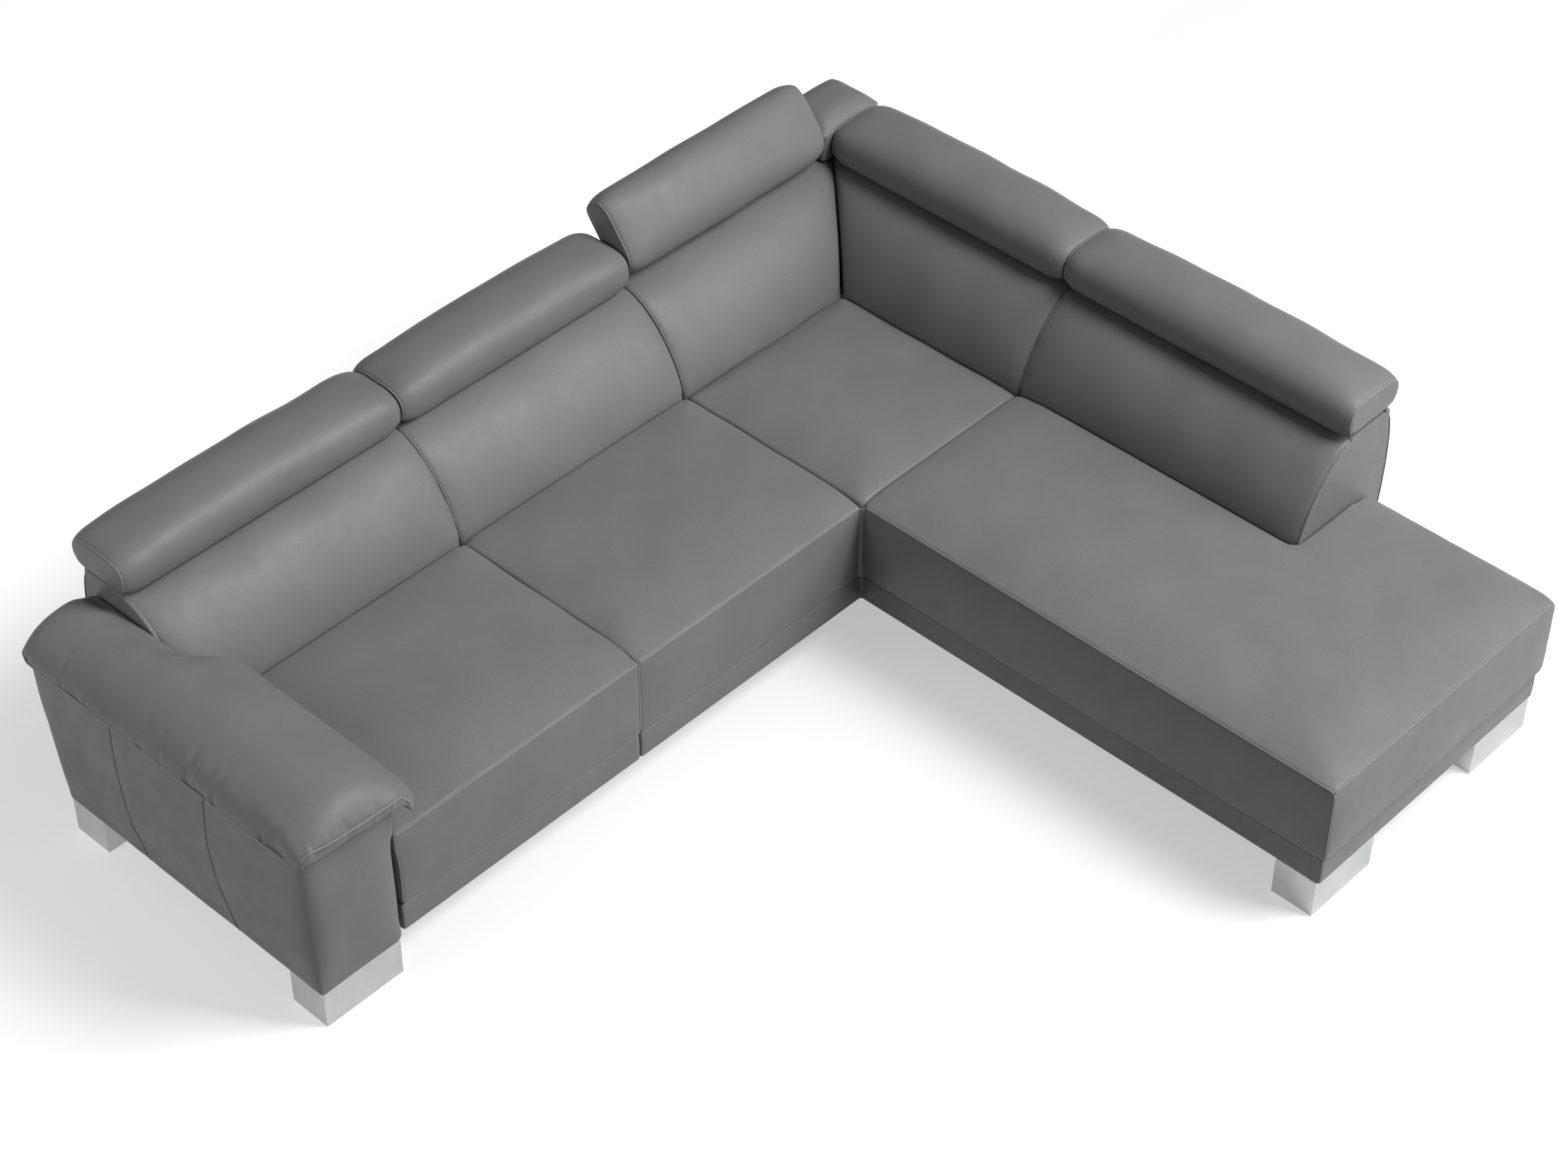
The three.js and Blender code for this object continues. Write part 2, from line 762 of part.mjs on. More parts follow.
function feet() {
  const armLeft = armOuter + armFootInset;
  const armRear = armDepth - armFrontReach - footWidth;
  foot("foot_arm_front", armLeft, -armFrontReach + armFootFrontInset);
  foot("foot_arm_rear", armLeft, armRear);
  const chaiseFront = -chaiseLength + chaisePanelInset + footInset;
  foot("foot_chaise_left", chaisePanelInset, chaiseFront);
  foot("foot_chaise_right", chaiseSeatWidth - chaisePanelInset - footLength, chaiseFront);
  const cornerX = chaise.rear - coverFootInset - footLength - footInset;
  foot("foot_rear_corner", cornerX, left.rear - coverFootInset - footWidth - footInset);

  supportLeg("support_leg_front", legSetback);
  supportLeg("support_leg_rear", left.rear - coverFootInset - legSetback);
}

function supportLeg(name, y) {
  const high = footHeight - touchGap;
  const geometry = new THREE.CylinderGeometry(legRadius, legRadius - legTaper, high, legSides);
  geometry.rotateX(Math.PI / 2);
  geometry.translate(-(moduleGap + railThickness) / 2, y, high / 2);
  addPiece(sofa, name, geometry, blackPlastic);
}

// The two modules are drawn together by a steel plate screwed under their neighbouring rails.
function connector() {
  const top = footHeight - touchGap;
  const geometry = block(
    [-connectorLength / 2, connectorPlace, top - connectorThickness],
    [connectorLength / 2, connectorPlace + connectorWidth, top],
  );
  addPiece(sofa, "module_connector", geometry, blackSteel);
}

// Springs: sinuous wires between a clip rail at the front and one at the back, lying on the rails.
function springUnit(start, end, front, rear, springCount) {
  const low = railTop + touchGap;
  const high = low + springWire;
  const parts = [
    block([start, front, low], [end, front + springClip, high]),
    block([start, rear - springClip, low], [end, rear, high]),
  ];
  const pitch = (end - start) / springCount;
  const bend = (rear - front) / springBendCount;
  const flat = bend * springRunShare;
  for (let i = 0; i < springCount; i += 1) {
    const middle = start + pitch * (i + 0.5);
    const route = [[middle, front + springClip / 2]];
    for (let j = 1; j < springBendCount; j += 1) {
      const side = middle + (j % 2 ? springSwing : -springSwing);
      route.push([side, front + bend * j - flat], [side, front + bend * j + flat]);
    }
    route.push([middle, rear - springClip / 2]);
    const right = route.map(([x, y]) => [x + springWire, y]);
    const leftSide = route.toReversed().map(([x, y]) => [x - springWire, y]);
    parts.push(slab([...right, ...leftSide], low, high));
  }
  return join(...parts);
}

function springs() {
  const front = seatBorder + touchGap;
  const rear = left.rear - backBoardInset - touchGap;
  const halfGap = cushionGap / 2;
  const unitLeft = springUnit(leftSeatEnd, -centreSeatWidth - halfGap, front, rear, seatSpringCount);
  addPiece(leftWing, "spring_unit_left", unitLeft, springSteel);
  const centreStart = -centreSeatWidth + halfGap;
  const unitCentre = springUnit(centreStart, -moduleGap / 2, front, rear, seatSpringCount);
  addPiece(leftWing, "spring_unit_centre", unitCentre, springSteel);
  const cornerRear = chaise.rear - backBoardInset - touchGap;
  const cornerStart = cushionGap - cornerSeatDepth;
  const cornerEnd = chaiseBackLength - endInset;
  const unitCorner = springUnit(cornerStart, cornerEnd, front, cornerRear, cornerSpringCount);
  addPiece(chaiseWing, "spring_unit_corner", unitCorner, springSteel);
  const chaiseRight = chaiseSeatWidth - front;
  const chaiseEnd = chaiseLength - seatBorder - cushionGap;
  const chaiseStart = chaiseBackLength + cushionGap;
  const unitChaise = springUnit(chaiseStart, chaiseEnd, front, chaiseRight, chaiseSpringCount);
  addPiece(chaiseWing, "spring_unit_chaise", unitChaise, springSteel);
}

// Armrest

const armBodyShares = [0.35, 0.62];
const armFlareShare = 0.6;
const armNeckShare = 0.22;
const armWaistShare = 0.38;
function armOutline() {
  const top = footHeight + armHeight;
  return roundCorners([
    { a: armOuter, z: footHeight, r: armRound, draw: 0.4 },
    ...armBodyShares.map((share) => {
      return { a: armOuter - armLean * share, z: footHeight + armHeight * share, crown: 1 };
    }),
    { a: armOuter - armLean, z: top, r: armRound, draw: 0.4 },
    { a: armInner + armFlare, z: top - armTopFall, r: armRound, draw: 0.4 },
    { a: armInner + armFlare * armFlareShare, z: top - armHeight * armNeckShare },
    { a: armInner - armWaist, z: top - armHeight * armWaistShare },
    { a: armInner, z: footHeight, draw: 0.4 },
  ]);
}

// The arm, or with extra a tool that is larger by that much all round.
function armSolid(extra = 0) {
  const start = -armFrontReach;
  const end = start + armDepth;
  const row = stations(start, end, armEndRound, 4);
  const step = cornerSeatDepth - cushionGap;
  const level = (at) => ({ at, draw: 0, round: 0, crown: 1 });
  row.push(level(step - armStepRun), level(step));
  row.sort((one, other) => one.at - other.at);
  const behind = leftBackEnd - touchGap;
  const shape = ([along, across, z]) => {
    const lean = (armRearLean * (z - footHeight)) / armHeight;
    const y = along + (lean * Math.max(0, along - step)) / (end - step);
    const x = along > step - armStepRun / 2 ? Math.min(across, behind + extra) : across;
    return [x, y, z];
  };
  const outline = armOutline();
  if (extra) {
    for (const station of row) Object.assign(station, { draw: 0, crown: 1 });
    for (const point of outline) Object.assign(point, { crown: 1 });
  }
  return padded(outline, row, extra || armBulge, shape);
}

// The arm pillow hangs over the arm: a lip outside, a soft crown and a fuller droop over the seat.
// Its crown goes through places given as shares of its width and of its rise.
const pillowCrownShares = [
  { run: 0.16, rise: 0.76, crown: 0.5 },
  { run: 0.4, rise: 1, crown: 1 },
  { run: 0.62, rise: 0.92, crown: 1 },
  { run: 0.84, rise: 0.48, crown: 0.6 },
];
function pillowOutline() {
  const top = footHeight + armHeight + touchGap;
  const outer = armOuter - armLean;
  const lip = outer - pillowOverhang;
  const inner = armInner + armFlare;
  const nose = armInner + pillowInnerReach;
  const underside = top - pillowDroop;
  const crest = pillowCrownShares.map(({ run, rise, crown }) => {
    return { a: lip + (nose - lip) * run, z: top + pillowRise * rise, r: pillowLipHeight, crown };
  });
  return roundCorners([
    { a: lip, z: top - pillowLipDepth, r: pillowLipDepth / 2 },
    { a: lip, z: top - pillowLipDepth + pillowLipHeight, r: pillowLipHeight / 3 },
    ...crest,
    { a: nose, z: top - pillowDroop / 2, r: pillowDroopWidth, crown: 0.3 },
    { a: nose - pillowHemRun, z: underside, r: pillowDroopWidth / 3 },
    { a: nose - pillowDroopWidth, z: underside - touchGap, r: pillowDroopWidth / 3 },
    { a: inner + pillowDroopWidth / 3, z: top - armTopFall - pillowHemRun },
    { a: inner + touchGap, z: top - armTopFall },
    { a: outer - touchGap, z: top },
    { a: outer - touchGap, z: top - pillowLipDepth },
  ]);
}

function armPillow() {
  const start = -armFrontReach - pillowFrontReach;
  const end = armDepth - armFrontReach + pillowRearReach;
  const row = stations(start, end, pillowEndRound, 9);
  const inner = armInner + pillowInnerReach;
  const middle = (armOuter + armInner) / 2;
  const narrowest = leftBackEnd - pillowBackClearance;
  const rest = footHeight + armHeight + touchGap;
  const shape = ([along, across, z]) => {
    const turn = THREE.MathUtils.smoothstep(along, pillowTurnStart, pillowTurnStart + pillowTurnLength);
    const share = Math.max(0, (across - middle) / (inner - middle));
    return [across + (narrowest - inner) * share * turn, along, z + Math.max(0, rest - z) * share * turn];
  };
  const pillow = padded(pillowOutline(), row, pillowCrown, shape);
  const clearance = back(left, leftBackEnd - pillowBackClearance, -centreSeatWidth, pillowBackClearance);
  addPiece(sofa, "arm_pillow", cut(pillow, clearance, armSolid(touchGap)), leather);
}

// Corner pad
function cornerPad() {
  const bottom = backTop + touchGap;
  const top = bottom + cornerPadHeight;
  const front = cornerSideHeadrestStart + cornerSideHeadrestWidth + headrestGap;
  const outline = roundCorners([
    { a: front, z: bottom, r: cornerPadRound / 3 },
    { a: front, z: top, r: cornerPadRound, crown: 0.4 },
    { a: (front + left.rear) / 2, z: top, crown: 1 },
    { a: left.rear, z: top, r: cornerPadRound, crown: 0.4 },
    { a: left.rear - padRearInset, z: bottom, r: cornerPadRound / 3 },
  ]);
  const row = stations(chaise.rear - cornerPadWidth, chaise.rear, cornerPadRound / 2, 2);
  addPiece(leftWing, "corner_pad", padded(outline, row, cornerPadCrown), leather);
}

// Headrests

function pivotOf(wing) {
  return { across: wing.line + wing.slope + pivotBehindEdge, height: backTop + pivotHeight };
}

// The pad about its pivot, lying flat: a round nose that turns clear of the back below it, and a flat heel.
const padRunShares = [0.25, 0.5, 0.75];
function padOutline(wing) {
  const rear = wing.rear - padRearInset - pivotOf(wing).across;
  const depth = rear + padRoll;
  return roundCorners([
    { a: -padRoll, z: -padUnderside, r: padNoseRound, draw: 0.7 },
    { a: -padRoll, z: padTop, r: padFrontRound, crown: 0.5 },
    ...padRunShares.map((share) => ({ a: -padRoll + depth * share, z: padTop, crown: 1 })),
    { a: rear, z: padTop - padRearDrop, r: padRearRound, crown: 0.5 },
    { a: rear, z: -padUnderside + padHeelRise, r: padHeelRound, crown: 0.1 },
    { a: rear - padHeelRun, z: -padUnderside, r: padHeelRound, draw: 0.7 },
  ]);
}

function ringPoint(radius, degrees) {
  const angle = THREE.MathUtils.degToRad(degrees);
  return [radius * Math.cos(angle), radius * Math.sin(angle)];
}

// The fixed cheek: a sawtooth ratchet round its far side and a web that runs down to the top board.
const cheekFoot = -(pivotHeight - touchGap);
const toothTipShare = 0.85;
function cheekOutline() {
  const from = cheekAngle + 90;
  const pitch = ratchetSweepAngle / ratchetToothCount;
  const outline = [];
  for (let i = 0; i < ratchetToothCount; i += 1) {
    outline.push(ringPoint(ratchetRoot, from + pitch * i));
    outline.push(ringPoint(ratchetTip, from + pitch * (i + toothTipShare)));
  }
  outline.push(ringPoint(ratchetRoot, from + ratchetSweepAngle));
  const way = ringPoint(1, cheekAngle);
  for (const side of [-1, 1]) {
    const startX = -way[1] * cheekHalfWidth * side;
    const startZ = way[0] * cheekHalfWidth * side;
    const run = (cheekFoot - startZ) / way[1];
    outline.push([startX + way[0] * run, cheekFoot]);
  }
  return outline;
}

const cheekInner = cheekSpread / 2;
const cheekOuter = cheekInner + cheekThickness;
const armPlateOuter = cheekInner - armPlateGap;
const armPlateInner = armPlateOuter - armPlateThickness;

function bracket() {
  const bore = rod(rodRadius + rodClearance, -fittingPlateWidth / 2, fittingPlateWidth / 2);
  const plate = block(
    [-fittingPlateWidth / 2, fittingPlateStart, cheekFoot],
    [fittingPlateWidth / 2, fittingPlateStart + fittingPlateDepth, cheekFoot + fittingPlateThickness],
  );
  const rightCheek = bar(cheekOutline(), cheekInner, cheekOuter);
  const leftCheek = bar(cheekOutline(), -cheekOuter, -cheekInner);
  return cut(join(plate, rightCheek, leftCheek), bore);
}

function pivotRod() {
  const shaftEnd = cheekOuter + touchGap;
  const headEnd = shaftEnd + rodHeadLength;
  return join(
    rod(rodRadius, -shaftEnd, shaftEnd),
    rod(rodHeadRadius, shaftEnd, headEnd),
    rod(rodHeadRadius, -headEnd, -shaftEnd),
  );
}

// The moving carrier: a plate under the pad, two eye plates on the rod and a pawl over each ratchet.
const eyeAngles = [50, 80, 110, 140, 170, 200];
function armPlateOutline() {
  const outline = eyeAngles.map((angle) => ringPoint(armEyeRadius, angle));
  const low = -padUnderside + carrierThickness / 2;
  outline.push([carrierStart, low], [carrierStart + gussetFoot, low]);
  return outline;
}

function pawl(side) {
  const base = ratchetTip + pawlClearance;
  const top = base + pawlHeight;
  const half = pawlWidth / 2;
  const spans = [armPlateOuter, cheekOuter].map((end) => {
    return [armPlateInner * side, end * side].sort((one, other) => one - other);
  });
  const riser = block([spans[0][0], armEyeRadius / 2, -half], [spans[0][1], top, half]);
  const hook = block([spans[1][0], base, -half], [spans[1][1], top, half]);
  return join(riser, hook).rotateX(THREE.MathUtils.degToRad(pawlAngle));
}

function carrier(length) {
  const half = length / 2 - carrierEndMargin;
  const low = -padUnderside;
  const high = low + carrierThickness;
  const plate = block([-half, carrierStart, low], [half, carrierStart + carrierDepth, high]);
  const slots = [-1, 1].map((side) => {
    const middle = ((cheekInner + cheekOuter) / 2) * side;
    const room = cheekThickness / 2 + carrierSlotClearance;
    return block(
      [middle - room, carrierStart - cutOverrun, low - cutOverrun],
      [middle + room, carrierSlotEnd, high + cutOverrun],
    );
  });
  const arms = [
    bar(armPlateOutline(), armPlateInner, armPlateOuter),
    bar(armPlateOutline(), -armPlateOuter, -armPlateInner),
  ];
  const bore = rod(rodRadius + rodClearance, -cheekSpread, cheekSpread);
  return cut(join(cut(plate, ...slots), ...arms, pawl(-1), pawl(1)), bore);
}

// The room inside the pad in which the cheeks swing, open underneath.
const cavityAngles = [30, 60, 90, 120, 150, 180];
function padCavity() {
  const outline = cavityAngles.map((angle) => ringPoint(cavityRadius, angle));
  const low = -padUnderside - cutOverrun;
  const roof = -padUnderside + cavityRearRise;
  outline.push([-cavityFrontFoot, low], [cavityRearFoot, low], [cavityRearFoot, roof]);
  const half = cheekOuter + touchGap + rodHeadLength + carrierSlotClearance;
  return bar(outline, -half, half);
}

function padSolid(wing, length) {
  const pad = padded(padOutline(wing), stations(-length / 2, length / 2, padEndRound, 5), padCrown);
  const half = length / 2 - carrierEndMargin + touchGap;
  const recess = block(
    [-half, carrierStart - touchGap, -padUnderside - cutOverrun],
    [half, carrierStart + carrierDepth + touchGap, -padUnderside + carrierThickness + touchGap],
  );
  return cut(pad, recess, padCavity());
}

function headrest(number, wing, start, end, raised) {
  const name = `headrest_${number}`;
  const pivot = pivotOf(wing);
  const place = new THREE.Group();
  place.position.set((start + end) / 2, pivot.across, pivot.height);
  const moving = new THREE.Group();
  moving.rotation.x = THREE.MathUtils.degToRad(raised);
  place.add(moving);
  wing.group.add(place);
  addPiece(moving, `${name}_pad`, padSolid(wing, end - start), leather);
  addPiece(moving, `${name}_carrier`, carrier(end - start), blackSteel);
  addPiece(place, `${name}_bracket`, bracket(), blackSteel);
  addPiece(place, `${name}_pivot_rod`, pivotRod(), springSteel);
}

function headrests() {
  const half = headrestGap / 2;
  headrest(1, left, leftBackEnd - padOverhang, -centreSeatWidth - half, 0);
  headrest(2, left, -centreSeatWidth + half, -half, 0);
  headrest(3, left, half, cornerHeadrestWidth, raisedAngle);
  const sideEnd = -cornerSideHeadrestStart;
  headrest(4, chaise, sideEnd - cornerSideHeadrestWidth, sideEnd, 0);
  headrest(5, chaise, headrestGap - cornerSideHeadrestStart, chaiseHeadrestEnd, 0);
}

seats();
chaiseCushion();
backs();
rearCovers();
backFrames();
rails();
basePanels();
feet();
connector();
springs();
addPiece(sofa, "arm_body", armSolid(), leather);
armPillow();
cornerPad();
headrests();

// The origin is under the middle of the plan: from the pillow's lip to the rear of the chaise wing, and
// from the chaise's front to the rear of the left wing.
const lowX = armOuter - armLean - pillowOverhang;
sofa.position.set(-(lowX + chaise.rear) / 2, -(left.rear - chaiseLength) / 2, 0);

export default sofa;
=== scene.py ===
import json
import math

import bpy
import numpy as np
from mathutils import Matrix, Vector
from mathutils.bvhtree import BVHTree
from mathutils.kdtree import KDTree


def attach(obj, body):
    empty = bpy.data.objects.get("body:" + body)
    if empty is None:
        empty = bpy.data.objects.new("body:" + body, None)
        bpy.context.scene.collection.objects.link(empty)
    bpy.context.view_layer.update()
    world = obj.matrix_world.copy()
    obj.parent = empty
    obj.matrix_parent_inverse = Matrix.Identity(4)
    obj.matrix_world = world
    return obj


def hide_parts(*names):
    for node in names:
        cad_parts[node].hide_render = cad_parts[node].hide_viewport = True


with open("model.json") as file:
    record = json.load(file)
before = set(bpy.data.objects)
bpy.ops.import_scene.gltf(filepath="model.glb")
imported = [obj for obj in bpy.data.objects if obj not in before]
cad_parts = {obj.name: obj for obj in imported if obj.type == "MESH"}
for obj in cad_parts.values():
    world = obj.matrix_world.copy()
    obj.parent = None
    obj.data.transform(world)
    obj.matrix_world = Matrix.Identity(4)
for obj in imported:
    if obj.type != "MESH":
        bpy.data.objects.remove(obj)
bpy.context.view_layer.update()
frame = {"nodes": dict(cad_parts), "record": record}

scene = bpy.context.scene

# Places are worked out in millimetres from the floor point under the sofa's inner corner.
MM = 0.001
ORIGIN = np.array([440.5, 227.0, 0.0])
SOFA = "sofa"

# Camera: solved from corner points of the photo, in degrees, metres and the photo's pixels

CAMERA_TURN = {"yaw": 47.120, "pitch": 42.327, "roll": 0.429}
CAMERA_PLACE = (-4.3445, -3.957, 5.942)
PHOTO_WIDTH, FOCAL_PIXELS, SENSOR_WIDTH = 2212, 4817.08, 36
FARTHEST_SEEN = 200


def add_camera():
    yaw, pitch, roll = (math.radians(CAMERA_TURN[key]) for key in ("yaw", "pitch", "roll"))
    forward = Vector((math.sin(yaw) * math.cos(pitch), math.cos(yaw) * math.cos(pitch), -math.sin(pitch)))
    level = Vector((math.cos(yaw), -math.sin(yaw), 0))
    upward = level.cross(forward)
    right = math.cos(roll) * level + math.sin(roll) * upward
    up = -math.sin(roll) * level + math.cos(roll) * upward
    data = bpy.data.cameras.new("camera")
    data.sensor_fit = "HORIZONTAL"
    data.sensor_width = SENSOR_WIDTH
    data.lens = FOCAL_PIXELS / PHOTO_WIDTH * SENSOR_WIDTH
    data.clip_end = FARTHEST_SEEN
    camera = bpy.data.objects.new("camera", data)
    scene.collection.objects.link(camera)
    camera.matrix_world = Matrix((
        (right.x, up.x, -forward.x, CAMERA_PLACE[0]),
        (right.y, up.y, -forward.y, CAMERA_PLACE[1]),
        (right.z, up.z, -forward.z, CAMERA_PLACE[2]),
        (0, 0, 0, 1),
    ))
    scene.camera = camera


add_camera()

# Materials


def rgb(code):
    """An sRGB hex code as linear red, green, blue and alpha."""
    parts = [int(code[i:i + 2], 16) / 255 for i in (1, 3, 5)]
    return (*[c / 12.92 if c <= 0.04045 else ((c + 0.055) / 1.055) ** 2.4 for c in parts], 1)


def per_metre(millimetres):
    """A pattern's scale on coordinates in metres, from its real size."""
    return 1 / (millimetres * MM)


def add_node(tree, kind, inputs=None, **settings):
    """A node with its settings, its values and its links. An input is a value, an output or a node."""
    node = tree.nodes.new(kind)
    for key, value in settings.items():
        setattr(node, key, value)
    for key, value in (inputs or {}).items():
        if isinstance(value, bpy.types.Node):
            value = value.outputs[0]
        if isinstance(value, bpy.types.NodeSocket):
            tree.links.new(value, node.inputs[key])
        else:
            node.inputs[key].default_value = value
    return node


def new_material(name, **values):
    """A material, its node tree and its shader, with the shader's constant values."""
    material = bpy.data.materials.new(name)
    material.use_nodes = True
    shader = material.node_tree.nodes["Principled BSDF"]
    for key, value in values.items():
        shader.inputs[key.replace("_", " ")].default_value = value
    return material, material.node_tree, shader


def own_place(tree, scale=(1, 1, 1)):
    """The piece's own coordinates in metres, stretched by a scale."""
    coordinates = add_node(tree, "ShaderNodeTexCoord").outputs["Object"]
    return add_node(tree, "ShaderNodeMapping", {"Vector": coordinates, "Scale": scale})


# A noise lies mostly between these two values, so a range starts from them.
NOISE_SPAN = {"From Min": 0.3, "From Max": 0.7}
# A colour mix takes its share at 0 and its two colours at 6 and 7.
COLOUR = {"data_type": "RGBA"}
# The grey that the leather darkens towards near its seams: painted shade in the seams, with some wear.
SEAM_SHADE_AND_WEAR_TONE = "#6a6a6a"


def sized(where, millimetres, detail, **more):
    """A noise's inputs, from the real size of its grains."""
    return {"Vector": where, "Scale": per_metre(millimetres), "Detail": detail, **more}


def blend(tree, pattern, first, second, to_max=1.0):
    """A colour that follows a noise from a first colour to a second."""
    share = add_node(tree, "ShaderNodeMapRange", {"Value": pattern, "To Max": to_max, **NOISE_SPAN})
    return add_node(tree, "ShaderNodeMix", {0: share, 6: first, 7: second}, **COLOUR).outputs[2]


def vary_gloss(tree, shader, pattern, low, high):
    """Lets the roughness follow a noise."""
    gloss = {"Value": pattern, "To Min": low, "To Max": high, **NOISE_SPAN}
    gloss = add_node(tree, "ShaderNodeMapRange", gloss)
    tree.links.new(gloss.outputs[0], shader.inputs["Roughness"])


def lay_bumps(tree, shader, steps):
    """Bumps laid over each other: each is a height, its depth in millimetres and its strength."""
    normal = None
    for height, depth, strength in steps:
        inputs = {"Height": height, "Distance": depth * MM, "Strength": strength}
        if normal:
            inputs["Normal"] = normal
        normal = add_node(tree, "ShaderNodeBump", inputs)
    tree.links.new(normal.outputs[0], shader.inputs["Normal"])


def leather_material(name, shade, light, dark, worn=0.5):
    """Smooth corrected leather: broad soft highlights, a fine pebble, faint clouds, and seams darkened by
    painted shade with some wear.

    Its pebble is drawn at 1.5 mm, a little coarser than the real one, so that it shows.
    """
    material, tree, shader = new_material(name, Roughness=0.46, Specular_IOR_Level=0.25, IOR=1.48,
                                          Coat_Weight=0.02, Coat_Roughness=0.35)
    where = own_place(tree)
    clouds = add_node(tree, "ShaderNodeTexNoise", sized(where, 190, 3))
    tone = blend(tree, clouds, rgb(dark), rgb(light))
    tone = add_node(tree, "ShaderNodeMix", {0: 0.5, 6: tone, 7: rgb(shade)}, **COLOUR).outputs[2]
    fine = add_node(tree, "ShaderNodeTexNoise", sized(where, 7, 4, Roughness=0.6))
    fine = {"Value": fine, "To Min": 0.96, "To Max": 1.04, **NOISE_SPAN}
    fine = add_node(tree, "ShaderNodeMapRange", fine)
    tone = add_node(tree, "ShaderNodeMix", {0: 1.0, 6: tone, 7: fine}, blend_type="MULTIPLY", **COLOUR)
    # Near a seam the tone goes towards a darker grey: painted shade in the seam, with some wear.
    seam = add_node(tree, "ShaderNodeAttribute", attribute_name="seam_near").outputs["Fac"]
    seam_shade_wear_share = add_node(tree, "ShaderNodeMath", {0: seam, 1: worn}, operation="MULTIPLY")
    tone = {0: seam_shade_wear_share, 6: tone.outputs[2], 7: rgb(SEAM_SHADE_AND_WEAR_TONE)}
    tone = add_node(tree, "ShaderNodeMix", tone, **COLOUR).outputs[2]
    tree.links.new(tone, shader.inputs["Base Color"])
    vary_gloss(tree, shader, add_node(tree, "ShaderNodeTexNoise", sized(where, 45, 3)), 0.40, 0.50)
    cells = add_node(tree, "ShaderNodeTexVoronoi", {"Vector": where, "Scale": per_metre(1.5)},
                     feature="DISTANCE_TO_EDGE")
    grain = add_node(tree, "ShaderNodeMapRange", {"Value": cells, "From Max": 0.22})
    pores = add_node(tree, "ShaderNodeTexNoise", sized(where, 0.8, 2))
    creases = add_node(tree, "ShaderNodeTexNoise", sized(where, 16, 5, Roughness=0.62))
    lay_bumps(tree, shader, [(grain, 0.10, 0.22), (pores, 0.06, 0.25), (creases, 0.7, 0.09)])
    return material


def wood_material():
    """Sanded softwood board: matt, pale yellow-brown bands and fine darker fibres along the board."""
    material, tree, shader = new_material("softwood_board_sanded", Roughness=0.62, Specular_IOR_Level=0.3)
    rings = {"Vector": own_place(tree, (1.4, 9, 9)), "Scale": 7.0, "Distortion": 5.0, "Detail": 3.0,
             "Detail Scale": 1.6}
    rings = add_node(tree, "ShaderNodeTexWave", rings, wave_type="BANDS", bands_direction="Z").outputs["Fac"]
    tone = {0: rings, 6: rgb("#c9a878"), 7: rgb("#a9855a")}
    tone = add_node(tree, "ShaderNodeMix", tone, **COLOUR).outputs[2]
    fibres = add_node(tree, "ShaderNodeTexNoise", sized(own_place(tree, (0.06, 1, 1)), 2.2, 4))
    tree.links.new(blend(tree, fibres, tone, rgb("#8d6a43"), to_max=0.5), shader.inputs["Base Color"])
    lay_bumps(tree, shader, [(fibres, 0.3, 0.35), (rings, 0.15, 0.2)])
    return material


def stained_material():
    """Black-stained softwood rail: nearly black, matt, with the fibres just showing."""
    material, tree, shader = new_material("softwood_rail_black_stain", Roughness=0.7, Specular_IOR_Level=0.25)
    fibres = add_node(tree, "ShaderNodeTexNoise", sized(own_place(tree, (0.4, 0.06, 1)), 2.4, 4))
    tree.links.new(blend(tree, fibres, rgb("#1c1a18"), rgb("#2e2a27")), shader.inputs["Base Color"])
    lay_bumps(tree, shader, [(fibres, 0.3, 0.5)])
    return material


def chrome_material():
    """Satin chrome plate: a soft mirror of the floor, drawn out sideways by fine brushing."""
    material, tree, shader = new_material("satin_chrome_plate", Metallic=1.0, Roughness=0.3)
    film = add_node(tree, "ShaderNodeTexNoise", sized(own_place(tree), 90, 3))
    tree.links.new(blend(tree, film, rgb("#b2b3b5"), rgb("#bcbdbf")), shader.inputs["Base Color"])
    brushed = add_node(tree, "ShaderNodeTexNoise", sized(own_place(tree, (0.03, 0.03, 1)), 0.7, 3))
    vary_gloss(tree, shader, brushed, 0.26, 0.36)
    lay_bumps(tree, shader, [(brushed, 0.01, 0.08)])
    return material


def coated_steel_material():
    """Powder-coated steel: near black with a slight orange peel and a dull sheen."""
    material, tree, shader = new_material("powder_coated_black_steel", Roughness=0.5, Specular_IOR_Level=0.5)
    where = own_place(tree)
    clouds = add_node(tree, "ShaderNodeTexNoise", sized(where, 40, 3))
    tree.links.new(blend(tree, clouds, rgb("#242527"), rgb("#333538")), shader.inputs["Base Color"])
    peel = add_node(tree, "ShaderNodeTexNoise", sized(where, 1.1, 3, Roughness=0.6))
    vary_gloss(tree, shader, peel, 0.42, 0.6)
    lay_bumps(tree, shader, [(peel, 0.12, 0.4)])
    return material


def spring_steel_material():
    """Drawn spring wire: bright grey metal with a thin oil film and fine lines along the wire."""
    material, tree, shader = new_material("drawn_spring_steel_wire", Metallic=1.0, Roughness=0.35)
    film = add_node(tree, "ShaderNodeTexNoise", sized(own_place(tree), 25, 4))
    tree.links.new(blend(tree, film, rgb("#8a8c8f"), rgb("#a9a9a6")), shader.inputs["Base Color"])
    drawn = add_node(tree, "ShaderNodeTexNoise", sized(own_place(tree, (0.05, 1, 1)), 0.6, 3))
    vary_gloss(tree, shader, drawn, 0.28, 0.46)
    lay_bumps(tree, shader, [(drawn, 0.03, 0.3)])
    return material


def leg_material():
    """Moulded plastic with a spark-eroded skin: black, matt and finely speckled."""
    material, tree, shader = new_material("moulded_black_plastic", Roughness=0.55, Specular_IOR_Level=0.45)
    where = own_place(tree)
    clouds = add_node(tree, "ShaderNodeTexNoise", sized(where, 30, 3))
    tree.links.new(blend(tree, clouds, rgb("#1b1b1c"), rgb("#262627")), shader.inputs["Base Color"])
    spark = add_node(tree, "ShaderNodeTexNoise", sized(where, 0.6, 2))
    vary_gloss(tree, shader, spark, 0.48, 0.62)
    lay_bumps(tree, shader, [(spark, 0.05, 0.5)])
    return material


